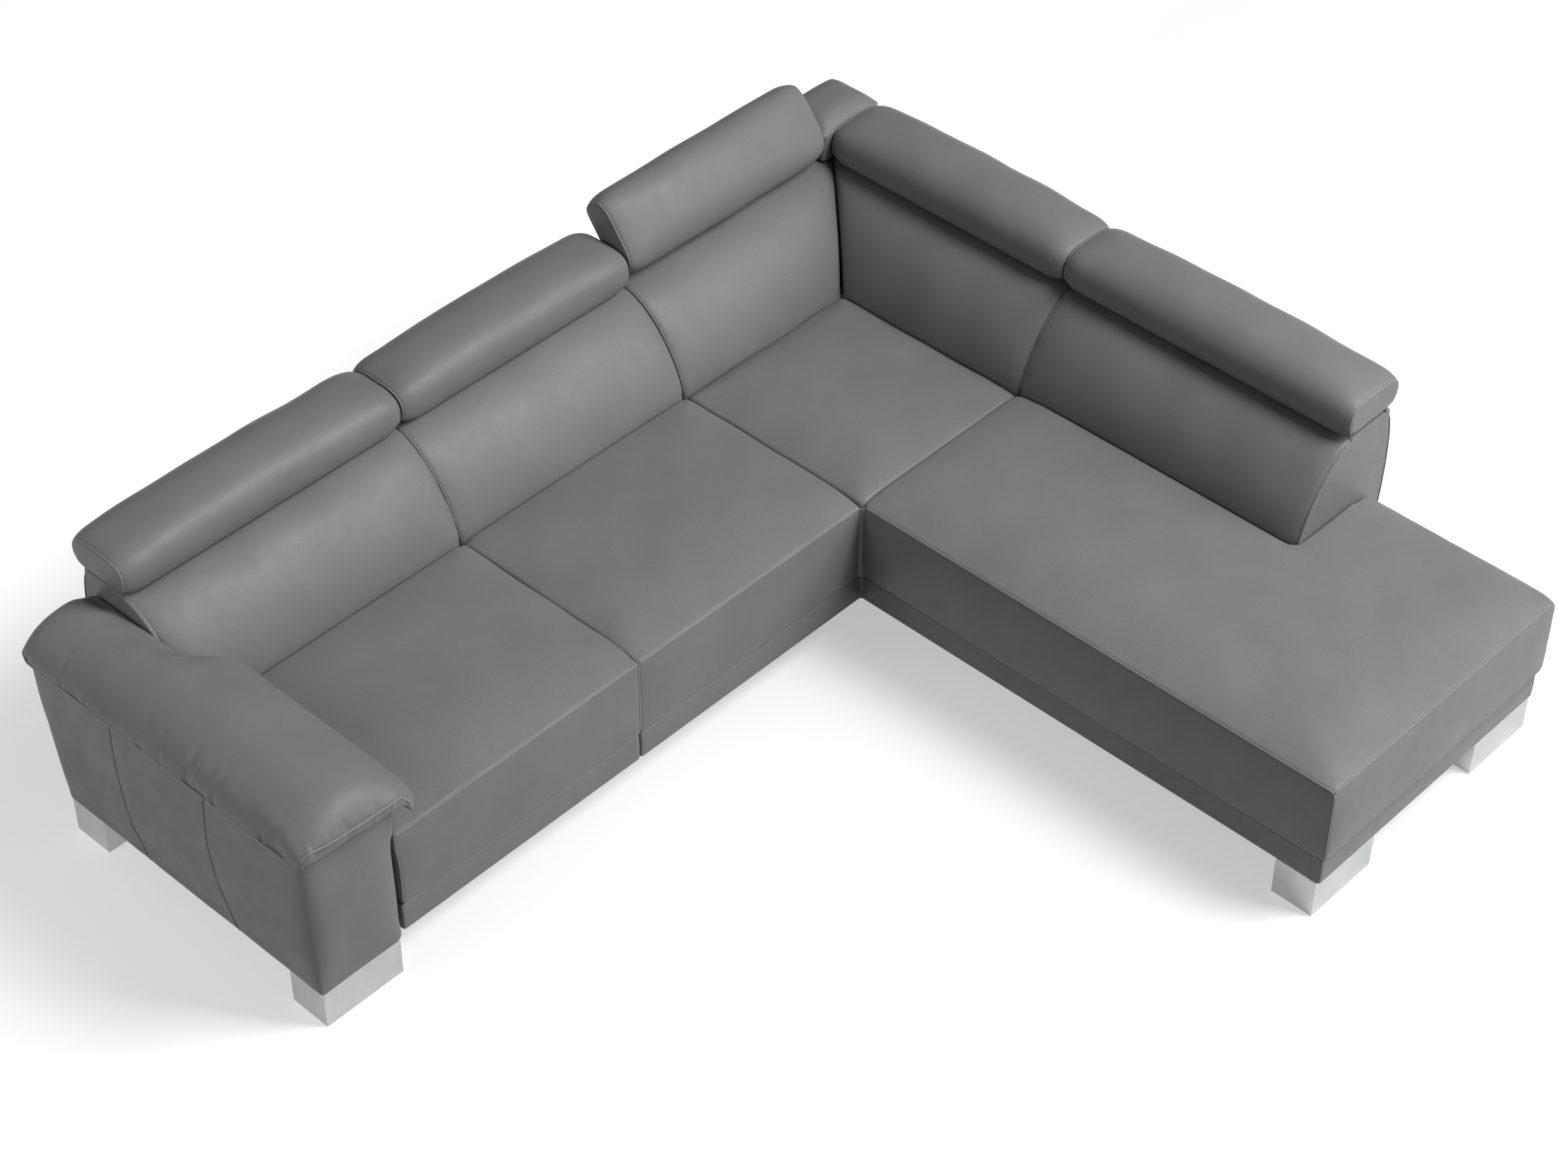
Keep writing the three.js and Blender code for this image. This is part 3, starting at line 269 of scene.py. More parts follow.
def thread_material(name, light, dark):
    """Twisted polyester thread: a dull strand whose twist shows as slanting light and dark turns."""
    material, tree, shader = new_material(name, Roughness=0.6, Specular_IOR_Level=0.35)
    twist = {"Vector": own_place(tree), "Scale": 700.0, "Distortion": 1.5}
    twist = add_node(tree, "ShaderNodeTexWave", twist, wave_type="BANDS",
                     bands_direction="DIAGONAL").outputs["Fac"]
    tone = add_node(tree, "ShaderNodeMix", {0: twist, 6: rgb(dark), 7: rgb(light)}, **COLOUR).outputs[2]
    tree.links.new(tone, shader.inputs["Base Color"])
    lay_bumps(tree, shader, [(twist, 0.12, 0.5)])
    return material


# Pads and covers; seam welts lighter as a painted highlight; end piping and arm joins darker as painted
# shade.
LEATHER = leather_material("smooth_grey_leather", "#7b7b7b", "#7f7f7f", "#747474")
WELT = leather_material("grey_leather_welt_rubbed_edge", "#8c8c8c", "#969696", "#808080", worn=0.0)
DARK_WELT = leather_material("grey_leather_piping_dark_edge", "#4c4c4c", "#545454", "#404040", worn=0.0)
THREAD = thread_material("twisted_polyester_thread_pale", "#a6a6a4", "#8a8a88")
DARK_THREAD = thread_material("twisted_polyester_thread_dark", "#4a4a4a", "#343434")
CAD_MATERIALS = {
    "frame_wood": wood_material(),
    "rail_wood": stained_material(),
    "foot_chrome": chrome_material(),
    "fitting_steel": coated_steel_material(),
    "spring_steel": spring_steel_material(),
    "leg_plastic": leg_material(),
    "leather": LEATHER,
}
for part in frame["record"]["subparts"]:
    node_object = frame["nodes"][part["node"]]
    node_object.data.materials.clear()
    node_object.data.materials.append(CAD_MATERIALS[part["material_slot"]])

# Sizes: s runs along a wing, a across it from the seat's front and z up. Each wing's back starts at its line,
# leans back by its slope and ends at its rear.

SEAT_BOTTOM, SEAT_EDGE, SEAT_TOP, PAD_UNDER = 197.0, 430.0, 446.0, 284.9
BACK_TOP, FOOT_TOP, BASE_TOP = 684.0, 112.0, 194.0
LEFT = {"line": 605.0, "slope": 210.0, "rear": 985.0, "place": lambda s, a, z: (s, a, z)}
CHAISE = {"line": 590.0, "slope": 185.0, "rear": 956.0, "place": lambda s, a, z: (a, -s, z)}
LEFT_END, SPLIT, CHAISE_END, CHAISE_WIDTH = -1538.0, -774.0, -1439.0, 897.0
BACK_END, CHAISE_BACK, BACK_DEPTH = -1608.0, 880.0, 48.7
END_ROLL = 12.5
MITRE_GAP = 0.6
ARM_OUTER, ARM_INNER = -1802.0, -1562.0

# Mesh building


def to_row(points):
    """Millimetres from the inner corner as metres in the shared frame."""
    return (np.asarray(points, float) + ORIGIN) * MM


def to_plan(points):
    """Metres in the shared frame as millimetres from the inner corner."""
    return np.asarray(points, float) / MM - ORIGIN


def mesh_object(name, points, faces, material=None):
    data = bpy.data.meshes.new(name)
    data.from_pydata(to_row(points).tolist(), [], faces)
    data.validate()
    data.update()
    obj = bpy.data.objects.new(name, data)
    scene.collection.objects.link(obj)
    if material:
        data.materials.append(material)
    data.polygons.foreach_set("use_smooth", [True] * len(data.polygons))
    return obj


def rounded(corners, steps=8, gap=9.0, soften=28.0):
    """An outline from corners (a, z, round, crown, draw), resampled evenly, its crown and draw softened."""
    dense = []
    count = len(corners)
    for i, corner in enumerate(corners):
        a, z, r, crown, draw = (list(corner) + [0, 0, 1][len(corner) - 2:])[:5]
        here = np.array([a, z], float)
        if not r:
            dense.append((a, z, crown, draw))
            continue
        ends = []
        for other in (corners[i - 1], corners[(i + 1) % count]):
            way = np.array(other[:2], float) - here
            ends.append(here + way / np.linalg.norm(way) * min(r, np.linalg.norm(way) / 2))
        for t in np.linspace(0, 1, steps):
            p = (1 - t) ** 2 * ends[0] + 2 * t * (1 - t) * here + t * t * ends[1]
            dense.append((p[0], p[1], crown, draw))
    dense = np.array(dense)
    closed = np.vstack([dense, dense[:1]])
    lengths = np.r_[0, np.cumsum(np.hypot(*np.diff(closed[:, :2], axis=0).T))]
    total = lengths[-1]
    number = int(total / gap)
    places = np.linspace(0, total, number, endpoint=False)
    row = np.column_stack([np.interp(places, lengths, closed[:, k]) for k in range(4)])
    reach = int(soften / gap)
    if reach > 0:
        kernel = np.hanning(2 * reach + 3)[1:-1]
        kernel /= kernel.sum()
        for k in (2, 3):
            wrapped = np.r_[row[-reach:, k], row[:, k], row[:reach, k]]
            row[:, k] = np.convolve(wrapped, kernel, "same")[reach:-reach]
    after, before = np.roll(row[:, :2], -1, 0), np.roll(row[:, :2], 1, 0)
    way = after - before
    way /= np.linalg.norm(way, axis=1)[:, None]
    area = np.sum(row[:, 0] * np.roll(row[:, 1], -1) - np.roll(row[:, 0], -1) * row[:, 1])
    normal = np.column_stack([way[:, 1], -way[:, 0]]) * (1 if area > 0 else -1)
    return {"a": row[:, 0], "z": row[:, 1], "crown": row[:, 2], "draw": row[:, 3], "n": normal}


def stretch(start, end, run, depth, gap=10.0, run_end=None, depth_end=None, flat=2.4, power=None):
    """Rings along a piece: where they lie, how deep they are drawn in and how far they swell."""
    run_end = run if run_end is None else run_end
    depth_end = depth if depth_end is None else depth_end
    shares = 1 - np.cos(np.linspace(0, math.pi / 2, 9))
    draws = (1 - shares) ** power if power else 1 - np.sqrt(np.maximum(0, 1 - (1 - shares) ** 2))
    inner = np.linspace(start + run, end - run_end, max(3, int((end - start - run - run_end) / gap)))
    at = np.r_[start + run * shares[:-1], inner, (end - run_end * shares[:-1])[::-1]]
    draw = np.r_[depth * draws[:-1], np.zeros(len(inner)), (depth_end * draws[:-1])[::-1]]
    share = np.abs((at - (start + end) / 2) / ((end - start) / 2))
    return {"at": at, "draw": draw, "crown": 1 - share ** flat, "start": start, "end": end}


def loft(outline, row, swell, place, start_at=None, end_at=None):
    """A closed skin from an outline carried along a row of rings.

    place turns (along, across, height) into x, y, z. start_at and end_at give slanted ends.
    """
    s_count, n_count = len(row["at"]), len(outline["a"])
    amount = swell * outline["crown"][None] * row["crown"][:, None]
    amount = amount - row["draw"][:, None] * outline["draw"][None]
    a = outline["a"][None] + outline["n"][None, :, 0] * amount
    z = outline["z"][None] + outline["n"][None, :, 1] * amount
    t = ((row["at"] - row["start"]) / (row["end"] - row["start"]))[:, None]
    first = start_at(a) if start_at else np.full_like(a, row["start"])
    last = end_at(a) if end_at else np.full_like(a, row["end"])
    s = first + (last - first) * t
    grid = np.stack(np.broadcast_arrays(*place(s, a, z)), -1)
    faces = []
    for i in range(s_count - 1):
        for j in range(n_count):
            k = (j + 1) % n_count
            faces.append((i * n_count + j, i * n_count + k, (i + 1) * n_count + k, (i + 1) * n_count + j))
    faces.append(tuple(range(n_count))[::-1])
    faces.append(tuple((s_count - 1) * n_count + j for j in range(n_count)))
    return grid, faces


def nearest_column(outline, a, z):
    """The number of the outline's point nearest to a place."""
    return int(np.argmin(np.hypot(outline["a"] - a, outline["z"] - z)))


def roll(distance, run, power=2.2):
    """How far a top has risen at a distance from its edge, from 0 to 1."""
    t = np.clip(distance / run, 0, 1)
    return 1 - (1 - t) ** power


def cushion(x0, x1, y0, y1, bottom, edge, top, runs, crown, bulges, gap=11.0, deep=(1, 1, 1, 1)):
    """A box cushion: a top that rolls over at its edges, borders that bulge, and a flat underside."""
    def spread(low, high):
        count = max(8, int((high - low) / gap))
        even = np.linspace(0, 1, count + 1)
        return low + (high - low) * (0.55 * even + 0.45 * (1 - np.cos(math.pi * even)) / 2)
    xs, ys = spread(x0, x1), spread(y0, y1)
    gx, gy = np.meshgrid(xs, ys, indexing="ij")
    rise = 1
    for distance, run, depth in ((gx - x0, runs[0], deep[0]), (x1 - gx, runs[1], deep[1]),
                                 (gy - y0, runs[2], deep[2]), (y1 - gy, runs[3], deep[3])):
        rise = rise * (1 - depth * (1 - roll(distance, run)))
    u, v = (gx - x0) / (x1 - x0) * 2 - 1, (gy - y0) / (y1 - y0) * 2 - 1
    gz = edge + (top - edge) * rise + crown * (1 - np.abs(u) ** 2.6) * (1 - np.abs(v) ** 2.6)
    nx, ny = len(xs), len(ys)
    points = np.stack([gx, gy, gz], -1).reshape(-1, 3).tolist()
    faces = [(i * ny + j, (i + 1) * ny + j, (i + 1) * ny + j + 1, i * ny + j + 1)
             for i in range(nx - 1) for j in range(ny - 1)]
    ring = [i * ny for i in range(nx)] + [(nx - 1) * ny + j for j in range(1, ny)]
    ring += [i * ny + ny - 1 for i in range(nx - 2, -1, -1)] + [j for j in range(ny - 2, 0, -1)]
    levels = max(3, int((edge - bottom) / gap))
    plan = np.array([points[i][:2] for i in ring])
    brink = np.array([points[i][2] for i in ring])
    out = np.zeros_like(plan)
    size = np.zeros(len(ring))
    sides = ((0, x0, -1, 1), (0, x1, 1, 1), (1, y0, -1, 0), (1, y1, 1, 0))
    for (axis, value, sign, other), bulge in zip(sides, bulges):
        on = np.abs(plan[:, axis] - value) < 1e-6
        low, high = (x0, x1) if other == 0 else (y0, y1)
        share = np.clip((plan[:, other] - low) / (high - low), 0, 1)
        out[on, axis] += sign
        size[on] = np.maximum(size[on], bulge * (np.sin(math.pi * share[on]) ** 0.4))
    previous = ring
    for level in range(1, levels + 1):
        share = level / levels
        amount = size * math.sin(math.pi * min(1, share * 0.96)) ** 0.8
        base = len(points)
        for k in range(len(ring)):
            z = brink[k] + (bottom - brink[k]) * share
            points.append([plan[k, 0] + out[k, 0] * amount[k], plan[k, 1] + out[k, 1] * amount[k], z])
        current = list(range(base, base + len(ring)))
        for k in range(len(ring)):
            m = (k + 1) % len(ring)
            faces.append((previous[k], previous[m], current[m], current[k])[::-1])
        previous = current
    faces.append(tuple(previous))
    return np.array(points), faces


def carry_out(obj, modifier_setup):
    """Adds one modifier, keeps its result as the mesh and removes it."""
    modifier = modifier_setup(obj)
    bpy.context.view_layer.update()
    graph = bpy.context.evaluated_depsgraph_get()
    made = bpy.data.meshes.new_from_object(obj.evaluated_get(graph))
    obj.modifiers.remove(modifier)
    old = obj.data
    materials = [m for m in old.materials]
    obj.data = made
    made.name = old.name
    made.materials.clear()
    for material in materials:
        made.materials.append(material)
    bpy.data.meshes.remove(old)
    made.polygons.foreach_set("use_smooth", [True] * len(made.polygons))
    return obj


def remesh(obj, size):
    def setup(o):
        m = o.modifiers.new("remesh", "REMESH")
        m.mode = "VOXEL"
        m.voxel_size = size * MM * 1
        m.use_smooth_shade = True
        return m
    return carry_out(obj, setup)


def finer(obj):
    """Parts each face once and rounds the mesh."""
    def setup(o):
        m = o.modifiers.new("finer", "SUBSURF")
        m.levels = 1
        m.render_levels = 1
        return m
    return carry_out(obj, setup)


def prism(section, ends, place):
    """The points and faces of a section carried straight from one end to the other."""
    n = len(section)
    points = [place(end, u, v) for end in ends for u, v in section]
    faces = [tuple(range(n))[::-1], tuple(range(n, 2 * n))]
    faces += [(k, (k + 1) % n, n + (k + 1) % n, n + k) for k in range(n)]
    return points, faces


def box_object(low, high):
    corners = [(x, y, z) for x in (low[0], high[0]) for y in (low[1], high[1]) for z in (low[2], high[2])]
    faces = [(0, 1, 3, 2), (4, 6, 7, 5), (0, 4, 5, 1), (2, 3, 7, 6), (0, 2, 6, 4), (1, 5, 7, 3)]
    return mesh_object("tool", corners, faces)


def cut_away(obj, tool, keep_tool=False):
    """Takes the tool's room out of a piece."""
    def setup(o):
        m = o.modifiers.new("cut", "BOOLEAN")
        m.operation = "DIFFERENCE"
        m.solver = "EXACT"
        m.object = tool
        return m
    carry_out(obj, setup)
    if not keep_tool:
        data = tool.data
        bpy.data.objects.remove(tool)
        bpy.data.meshes.remove(data)
    return obj


def coordinates(obj):
    co = np.empty(len(obj.data.vertices) * 3)
    obj.data.vertices.foreach_get("co", co)
    return co.reshape(-1, 3)


def set_coordinates(obj, co):
    obj.data.vertices.foreach_set("co", np.asarray(co, float).ravel())
    obj.data.update()


def normals(obj):
    n = np.empty(len(obj.data.vertices) * 3)
    obj.data.vertex_normals.foreach_get("vector", n)
    return n.reshape(-1, 3)


def smooth(obj, co, times, share=0.5, hold=None):
    """Draws each point towards the middle of its neighbours."""
    edges = np.empty(len(obj.data.edges) * 2, int)
    obj.data.edges.foreach_get("vertices", edges)
    one, other = edges.reshape(-1, 2).T
    number = np.bincount(np.r_[one, other], minlength=len(co))[:, None].clip(1)
    free = share if hold is None else share * (1 - hold)[:, None]
    for _ in range(times):
        total = np.zeros_like(co)
        for k in range(3):
            total[:, k] = np.bincount(one, co[other, k], len(co)) + np.bincount(other, co[one, k], len(co))
        co = co + (total / number - co) * free
    return co


def along(points, gap=3.0):
    """A line of points in millimetres at even distances."""
    points = np.asarray(points, float)
    lengths = np.r_[0, np.cumsum(np.linalg.norm(np.diff(points, axis=0), axis=1))]
    places = np.linspace(0, lengths[-1], max(2, int(lengths[-1] / gap) + 1))
    return np.column_stack([np.interp(places, lengths, points[:, k]) for k in range(3)])


def distances(co_mm, lines):
    """How far each point lies from the nearest line, and how far along that line its foot is."""
    if not lines:
        return np.full(len(co_mm), 1e3), np.zeros(len(co_mm))
    rows, lengths = [], []
    for line in lines:
        line = along(line, 4.0)
        rows.append(line)
        lengths.append(np.r_[0, np.cumsum(np.linalg.norm(np.diff(line, axis=0), axis=1))])
    points, lengths = np.vstack(rows), np.concatenate(lengths)
    tree = KDTree(len(points))
    for i, p in enumerate(points):
        tree.insert(p, i)
    tree.balance()
    found = [tree.find(p) for p in co_mm]
    return np.array([f[2] for f in found]), lengths[[f[1] for f in found]]


def waves(points, seed, size, count=7):
    """Soft seeded hills between about -1 and 1, of a size in millimetres."""
    rng = np.random.default_rng(seed)
    total = np.zeros(len(points))
    for _ in range(count):
        way = rng.normal(size=3)
        way *= rng.uniform(0.6, 1.5) * 2 * math.pi / size / np.linalg.norm(way)
        total += np.sin(points @ way + rng.uniform(0, 2 * math.pi))
    return total / math.sqrt(count)


# Soft pieces

SOFT = []
# Each key holds lines: a seam gets a welt, a stitched line a join and a pale thread beside it, a dark line a
# dark thread, and a fold is only held.
LINES = ("seams", "stitched", "dark", "folds")
# Lengths in millimetres; extra is a share by which the leather grows and calm a number of smoothings.
SOFT_DEFAULTS = {
    "shrink": 4.0,
    "pressed": 1.8,
    "welt": 2.0,
    "wavy": 0.9,
    "extra": 0.0,
    "calm": 4,
    "stitched": (),
    "dark": (),
    "folds": (),
    "detail": None,
    "hollow": None,
}
# Leather over foam: stiff along itself, soft in bending, blown out by a little pressure.
CLOTH = {
    "quality": 4,
    "mass": 0.35,
    "tension_stiffness": 22,
    "compression_stiffness": 22,
    "shear_stiffness": 9,
    "bending_stiffness": 1.2,
    "tension_damping": 8,
    "use_pressure": True,
    "uniform_pressure_force": 4.2,
    "vertex_group_mass": "held",
    "pin_stiffness": 1.5,
}
CLOTH_FRAMES = 20
# How far a seam's effects reach, in millimetres.
HOLD_REACH, PRESS_REACH, SEAM_SHADE_AND_WEAR_REACH = 9, 4.5, 5
GATHER_DEPTH, GATHER_REACH, GATHER_START = 0.7, 26, 7
LIE_SEED, LIE_SIZE, LIE_START = 11, 230, 60


def fade(distance, reach):
    """A soft fall from 1 on a line to 0 beyond its reach."""
    return np.exp(-(distance / reach) ** 2)


def soft(obj, body, nodes, seams, pinned, cap, fill, **settings):
    """Registers a soft piece: its seams, the places that stay put, and how far it may swell."""
    piece = {**SOFT_DEFAULTS, **settings, "obj": obj, "body": body, "nodes": nodes, "seams": seams,
             "pinned": pinned, "cap": cap, "fill": fill}
    for key in LINES:
        piece[key] = [np.asarray(line, float) for line in piece[key]]
    SOFT.append(piece)


def start_cloth(piece):
    """Draws a piece in a little where it is free, and gives it the cloth that swells it again."""
    obj = piece["obj"]
    co = to_plan(coordinates(obj))
    co = to_plan(smooth(obj, to_row(co), 2))
    n = normals(obj)
    near, _ = distances(co, piece["seams"] + piece["folds"])
    hold = np.maximum(fade(near, HOLD_REACH), piece["pinned"](co, n))
    co = co - n * (piece["shrink"] * (1 - hold))[:, None]
    set_coordinates(obj, to_row(co))
    piece["start"], piece["hold"] = co, hold
    group = obj.vertex_groups.new(name="held")
    for level in np.unique(np.round(hold, 1)):
        if level > 0:
            chosen = np.nonzero(np.round(hold, 1) == level)[0].tolist()
            group.add(chosen, float(level), "REPLACE")
    cloth = obj.modifiers.new("cloth", "CLOTH")
    settings = cloth.settings
    for key, value in CLOTH.items():
        setattr(settings, key, value)
    settings.shrink_min = -piece["extra"]
    settings.effector_weights.gravity = 0
    cloth.collision_settings.use_collision = False
    cloth.collision_settings.use_self_collision = False
    cloth.point_cache.frame_start = 1
    cloth.point_cache.frame_end = CLOTH_FRAMES


def finish_cloth(piece, graph):
    """Notes where the cloth has swollen a piece to."""
    obj = piece["obj"]
    swollen = obj.evaluated_get(graph).data
    moved = np.empty(len(swollen.vertices) * 3)
    swollen.vertices.foreach_get("co", moved)
    piece["swollen"] = to_plan(moved.reshape(-1, 3))


def keep_cloth(piece):
    """Keeps the swollen shape up to its cap, and adds pressed seams, gathers and the leather's uneven lie."""
    obj = piece["obj"]
    obj.modifiers.clear()
    obj.vertex_groups.clear()
    way = piece["swollen"] - piece["start"]
    size = np.linalg.norm(way, axis=1)
    allowed = piece["cap"] * (1 - np.exp(-size / piece["cap"]))
    co = piece["start"] + way * (allowed / np.maximum(size, 1e-9))[:, None]
    co = to_plan(smooth(obj, to_row(co), piece["calm"], 0.5, piece["hold"]))
    set_coordinates(obj, to_row(co))
    finer(obj)
    co = to_plan(coordinates(obj))
    n = normals(obj)
    lines = piece["seams"] + piece["stitched"] + piece["dark"]
    near, run = distances(co, lines)
    down = -piece["pressed"] * fade(near, PRESS_REACH)
    gather = np.sin(run / 17 + 1.3 * np.sin(run / 61)) * np.sin(run / 43 + 0.7)
    puckers = GATHER_DEPTH * gather * fade(near, GATHER_REACH) * (1 - fade(near, GATHER_START))
    lie = piece["wavy"] * waves(co, LIE_SEED, LIE_SIZE) * (1 - fade(near, LIE_START))
    free = 1 - piece["pinned"](co, n)
    co = co + n * ((down + puckers + lie) * free)[:, None]
    if piece["detail"]:
        co = piece["detail"](co, n)
    set_coordinates(obj, to_row(co))
    # Nearness to a seam, which darkens the leather there: painted shade in the seam, with some wear.
    attribute = obj.data.attributes.new("seam_near", "FLOAT", "POINT")
    attribute.data.foreach_set("value", fade(near, SEAM_SHADE_AND_WEAR_REACH).astype(np.float32))
    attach(obj, piece["body"])
    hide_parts(*piece["nodes"])


def held_below(level, band=12.0):
    """Holds what lies under a level, and less and less in a band above it."""
    return lambda co, n: np.clip((level + band - co[:, 2]) / band, 0, 1)


# Seats

SEATS = {
    "left": (LEFT_END, SPLIT + 1.5),
    "centre": (SPLIT - 1.5, 0.6),
}
SEAT_REAR = 604.7
CORNER_SIDE = 589.7


def seat_holds(co, n):
    """Holds a seat's flanks, its rear and what faces down."""
    inside = (co[:, 2] < PAD_UNDER + 4) & (co[:, 1] > 30)
    flank = (np.abs(n[:, 0]) > 0.8) & (co[:, 2] < SEAT_EDGE + 4)
    return np.where(inside | flank | (n[:, 2] < -0.5) | (co[:, 1] > SEAT_REAR - 8), 1.0, 0.0)


def lean_on_arm(points):
    """Presses the top of the left seat's free side against the armrest."""
    beside = np.clip((LEFT_END + 46 - points[:, 0]) / 46, 0, 1)
    high = np.clip((points[:, 2] - 300) / 120, 0, 1)
    points[:, 0] -= 9.5 * beside * high * high * (3 - 2 * high)
    return points


def keep_off_springs(co, n):
    """Lifts a pad's underside off the springs."""
    inside = (co[:, 2] < PAD_UNDER + 6) & (co[:, 2] > PAD_UNDER - 12) & (n[:, 2] < -0.6)
    co[inside, 2] = np.maximum(co[inside, 2], PAD_UNDER)
    return co


def add_seats():
    for key, (x0, x1) in SEATS.items():
        free = key == "left"
        runs, deep = (30 if free else 40, 40, 118, 30), (0.25 if free else 0.5, 0.5, 1, 0.6)
        points, faces = cushion(x0, x1, 0, SEAT_REAR, SEAT_BOTTOM, SEAT_EDGE - 1, SEAT_TOP + 9, runs,
                                crown=8.0, bulges=(2, 0, 6, 0), deep=deep)
        if free:
            points = lean_on_arm(points)
        obj = mesh_object(f"seat_{key}_leather", points, faces, LEATHER)
        cut_away(obj, box_object((x0 - 20, 40, 150), (x1 + 20, SEAT_REAR + 20, PAD_UNDER)))
        remesh(obj, 9.5)
        z = SEAT_EDGE - 1
        far = x0 - 9 if free else x0
        front = [(far + 2, 0, z), (x1 - 2, 0, z)]
        sides = [[(far + 1, 0, z), (x0 + 1, 0, 310), (x0 + 1, 0, SEAT_BOTTOM + 4)],
                 [(x1 - 1, 0, z), (x1 - 1, 0, SEAT_BOTTOM + 4)]]
        tops = [[(far + 1, 4, z), (far + 1, 95, z + 12), (far + 1, SEAT_REAR - 10, z + 12)],
                [(x1 - 1, 4, z), (x1 - 1, 95, z + 9), (x1 - 1, SEAT_REAR - 10, z + 9)]]
        soft(obj, SOFA, [f"seat_cushion_{key}"], [front, *sides], seat_holds, cap=9.0, fill=0.8,
             detail=keep_off_springs, folds=tops)


def add_corner_seat():
    points, faces = cushion(-0.8, CORNER_SIDE, -1.2, SEAT_REAR, PAD_UNDER, SEAT_EDGE, SEAT_TOP + 8,
                            (46, 24, 46, 24), crown=8.0, bulges=(0, 0, 0, 0), deep=(0.6, 0.6, 0.6, 0.6))
    obj = mesh_object("seat_corner_leather", points, faces, LEATHER)
    remesh(obj, 9.5)
    z = SEAT_EDGE + 8
    edges = [[(2, 2, z), (2, SEAT_REAR - 6, z)], [(3, 1, z), (586, 1, z)]]

    def holds(co, n):
        flank = ((np.abs(n[:, 0]) > 0.8) | (np.abs(n[:, 1]) > 0.8)) & (co[:, 2] < SEAT_EDGE + 6)
        return np.maximum(held_below(PAD_UNDER + 30)(co, n), flank)
    soft(obj, SOFA, ["seat_cushion_corner"], [], holds, cap=8.0, fill=0.8, folds=edges)


def chaise_holds(co, n):
    """Holds the chaise pad's underside, its step beside the back and its flank beside the corner seat."""
    inside = (co[:, 2] < PAD_UNDER + 4) & (co[:, 0] > 30) & (co[:, 0] < 867) & (co[:, 1] > CHAISE_END + 30)
    step = (np.abs(co[:, 1] + 880) < 10) & (co[:, 0] > 596)
    flank = (np.abs(co[:, 0] - CORNER_SIDE) < 9) & (co[:, 1] > -878) | ((co[:, 1] > -30) & (n[:, 1] > 0.8))
    return np.where(inside | step | flank | (n[:, 2] < -0.5) | (co[:, 1] > -9), 1.0, 0.0)


def add_chaise():
    wide = CHAISE_WIDTH
    points, faces = cushion(0, wide, CHAISE_END, 1.2, SEAT_BOTTOM, SEAT_EDGE, SEAT_TOP + 9, (96, 96, 124, 40),
                            crown=8.0, bulges=(15, 4, 9, 0), gap=13.0, deep=(1, 1, 1, 0.5))
    obj = mesh_object("seat_chaise_leather", points, faces, LEATHER)
    cut_away(obj, box_object((CORNER_SIDE, -CHAISE_BACK - 0.3, 100), (940, 40, 700)))
    cut_away(obj, box_object((40, CHAISE_END + 40, 150), (857, 40, PAD_UNDER)))
    remesh(obj, 12.0)
    z = SEAT_EDGE
    seams = [
        [(0, -6, z), (0, CHAISE_END + 1, z)],
        [(1, CHAISE_END, z), (wide - 1, CHAISE_END, z)],
        [(wide, CHAISE_END + 1, z), (wide, -884, z)],
        [(0, CHAISE_END, z), (0, CHAISE_END, SEAT_BOTTOM + 3)],
        [(wide, CHAISE_END, z), (wide, CHAISE_END, SEAT_BOTTOM + 3)],
        [(0, -1, z), (0, -1, SEAT_BOTTOM + 4)],
    ]
    soft(obj, SOFA, ["seat_cushion_chaise"], seams, chaise_holds, cap=10.0, fill=0.8, detail=keep_off_springs)


# Backs


def bezier(points, count):
    p = np.array(points, float)
    t = np.linspace(0, 1, count)[:, None]
    return (1 - t) ** 3 * p[0] + 3 * t * (1 - t) ** 2 * p[1] + 3 * t * t * (1 - t) * p[2] + t ** 3 * p[3]


def back_face(wing):
    """The curved face of a back, from the seat to its top."""
    rise, shares = BACK_TOP - SEAT_TOP, [(0, 0), (0.07, 0.35), (0.52, 0.934), (1, 1)]
    return bezier([(wing["line"] + wing["slope"] * r, SEAT_TOP + rise * h) for r, h in shares], 26)


def back_outline(wing):
    face = back_face(wing)
    rear = wing["line"] + wing["slope"] + BACK_DEPTH
    corners = [(wing["line"] + 2, PAD_UNDER, 0, 0, 0)]
    for i, (a, z) in enumerate(face):
        t = i / (len(face) - 1)
        corners.append((a, z, 0, math.sin(math.pi * t) ** 0.8, 1 - 0.4 * t))
    corners += [(rear, BACK_TOP, 0, 0, 0.2), (rear, BACK_TOP - 20, 0, 0, 0),
                (wing["line"] + 142, 545, 0, 0, 0), (wing["line"] + 95, PAD_UNDER, 0, 0, 0)]
    return rounded(corners, gap=9.5)


def back_holds(wing):
    """Holds a back's rear, its flanks and what lies behind the seat."""
    face = back_face(wing)

    def holds(co, n):
        across = co[:, 1] if wing is LEFT else co[:, 0]
        lean = np.interp(co[:, 2], face[:, 1], face[:, 0])
        flank = np.abs(n[:, 0] if wing is LEFT else n[:, 1]) > 0.85
        return np.where((across > lean + 40) | flank | (co[:, 2] < SEAT_TOP - 18), 1.0, 0.0)
    return holds


def add_back(name, node, wing, start, end, runs, depths, start_at=None, end_at=None, seam_ends=(1, 1)):
    outline = back_outline(wing)
    row = stretch(start, end, runs[0], depths[0], 10.0, runs[1], depths[1], flat=4.5, power=2.4)
    grid, faces = loft(outline, row, 9.0, wing["place"], start_at, end_at)
    obj = mesh_object(name, grid.reshape(-1, 3), faces, LEATHER)
    remesh(obj, 9.5)
    first = nearest_column(outline, wing["line"], SEAT_TOP - 6)
    last = nearest_column(outline, wing["line"] + wing["slope"], BACK_TOP)
    seams = []
    if seam_ends[0]:
        seams.append(grid[1, first:last + 1])
    if seam_ends[1]:
        seams.append(grid[-2, first:last + 1])
    soft(obj, SOFA, [node], seams, back_holds(wing), cap=6.0, fill=0.85, shrink=3.0, calm=9, welt=1.4)


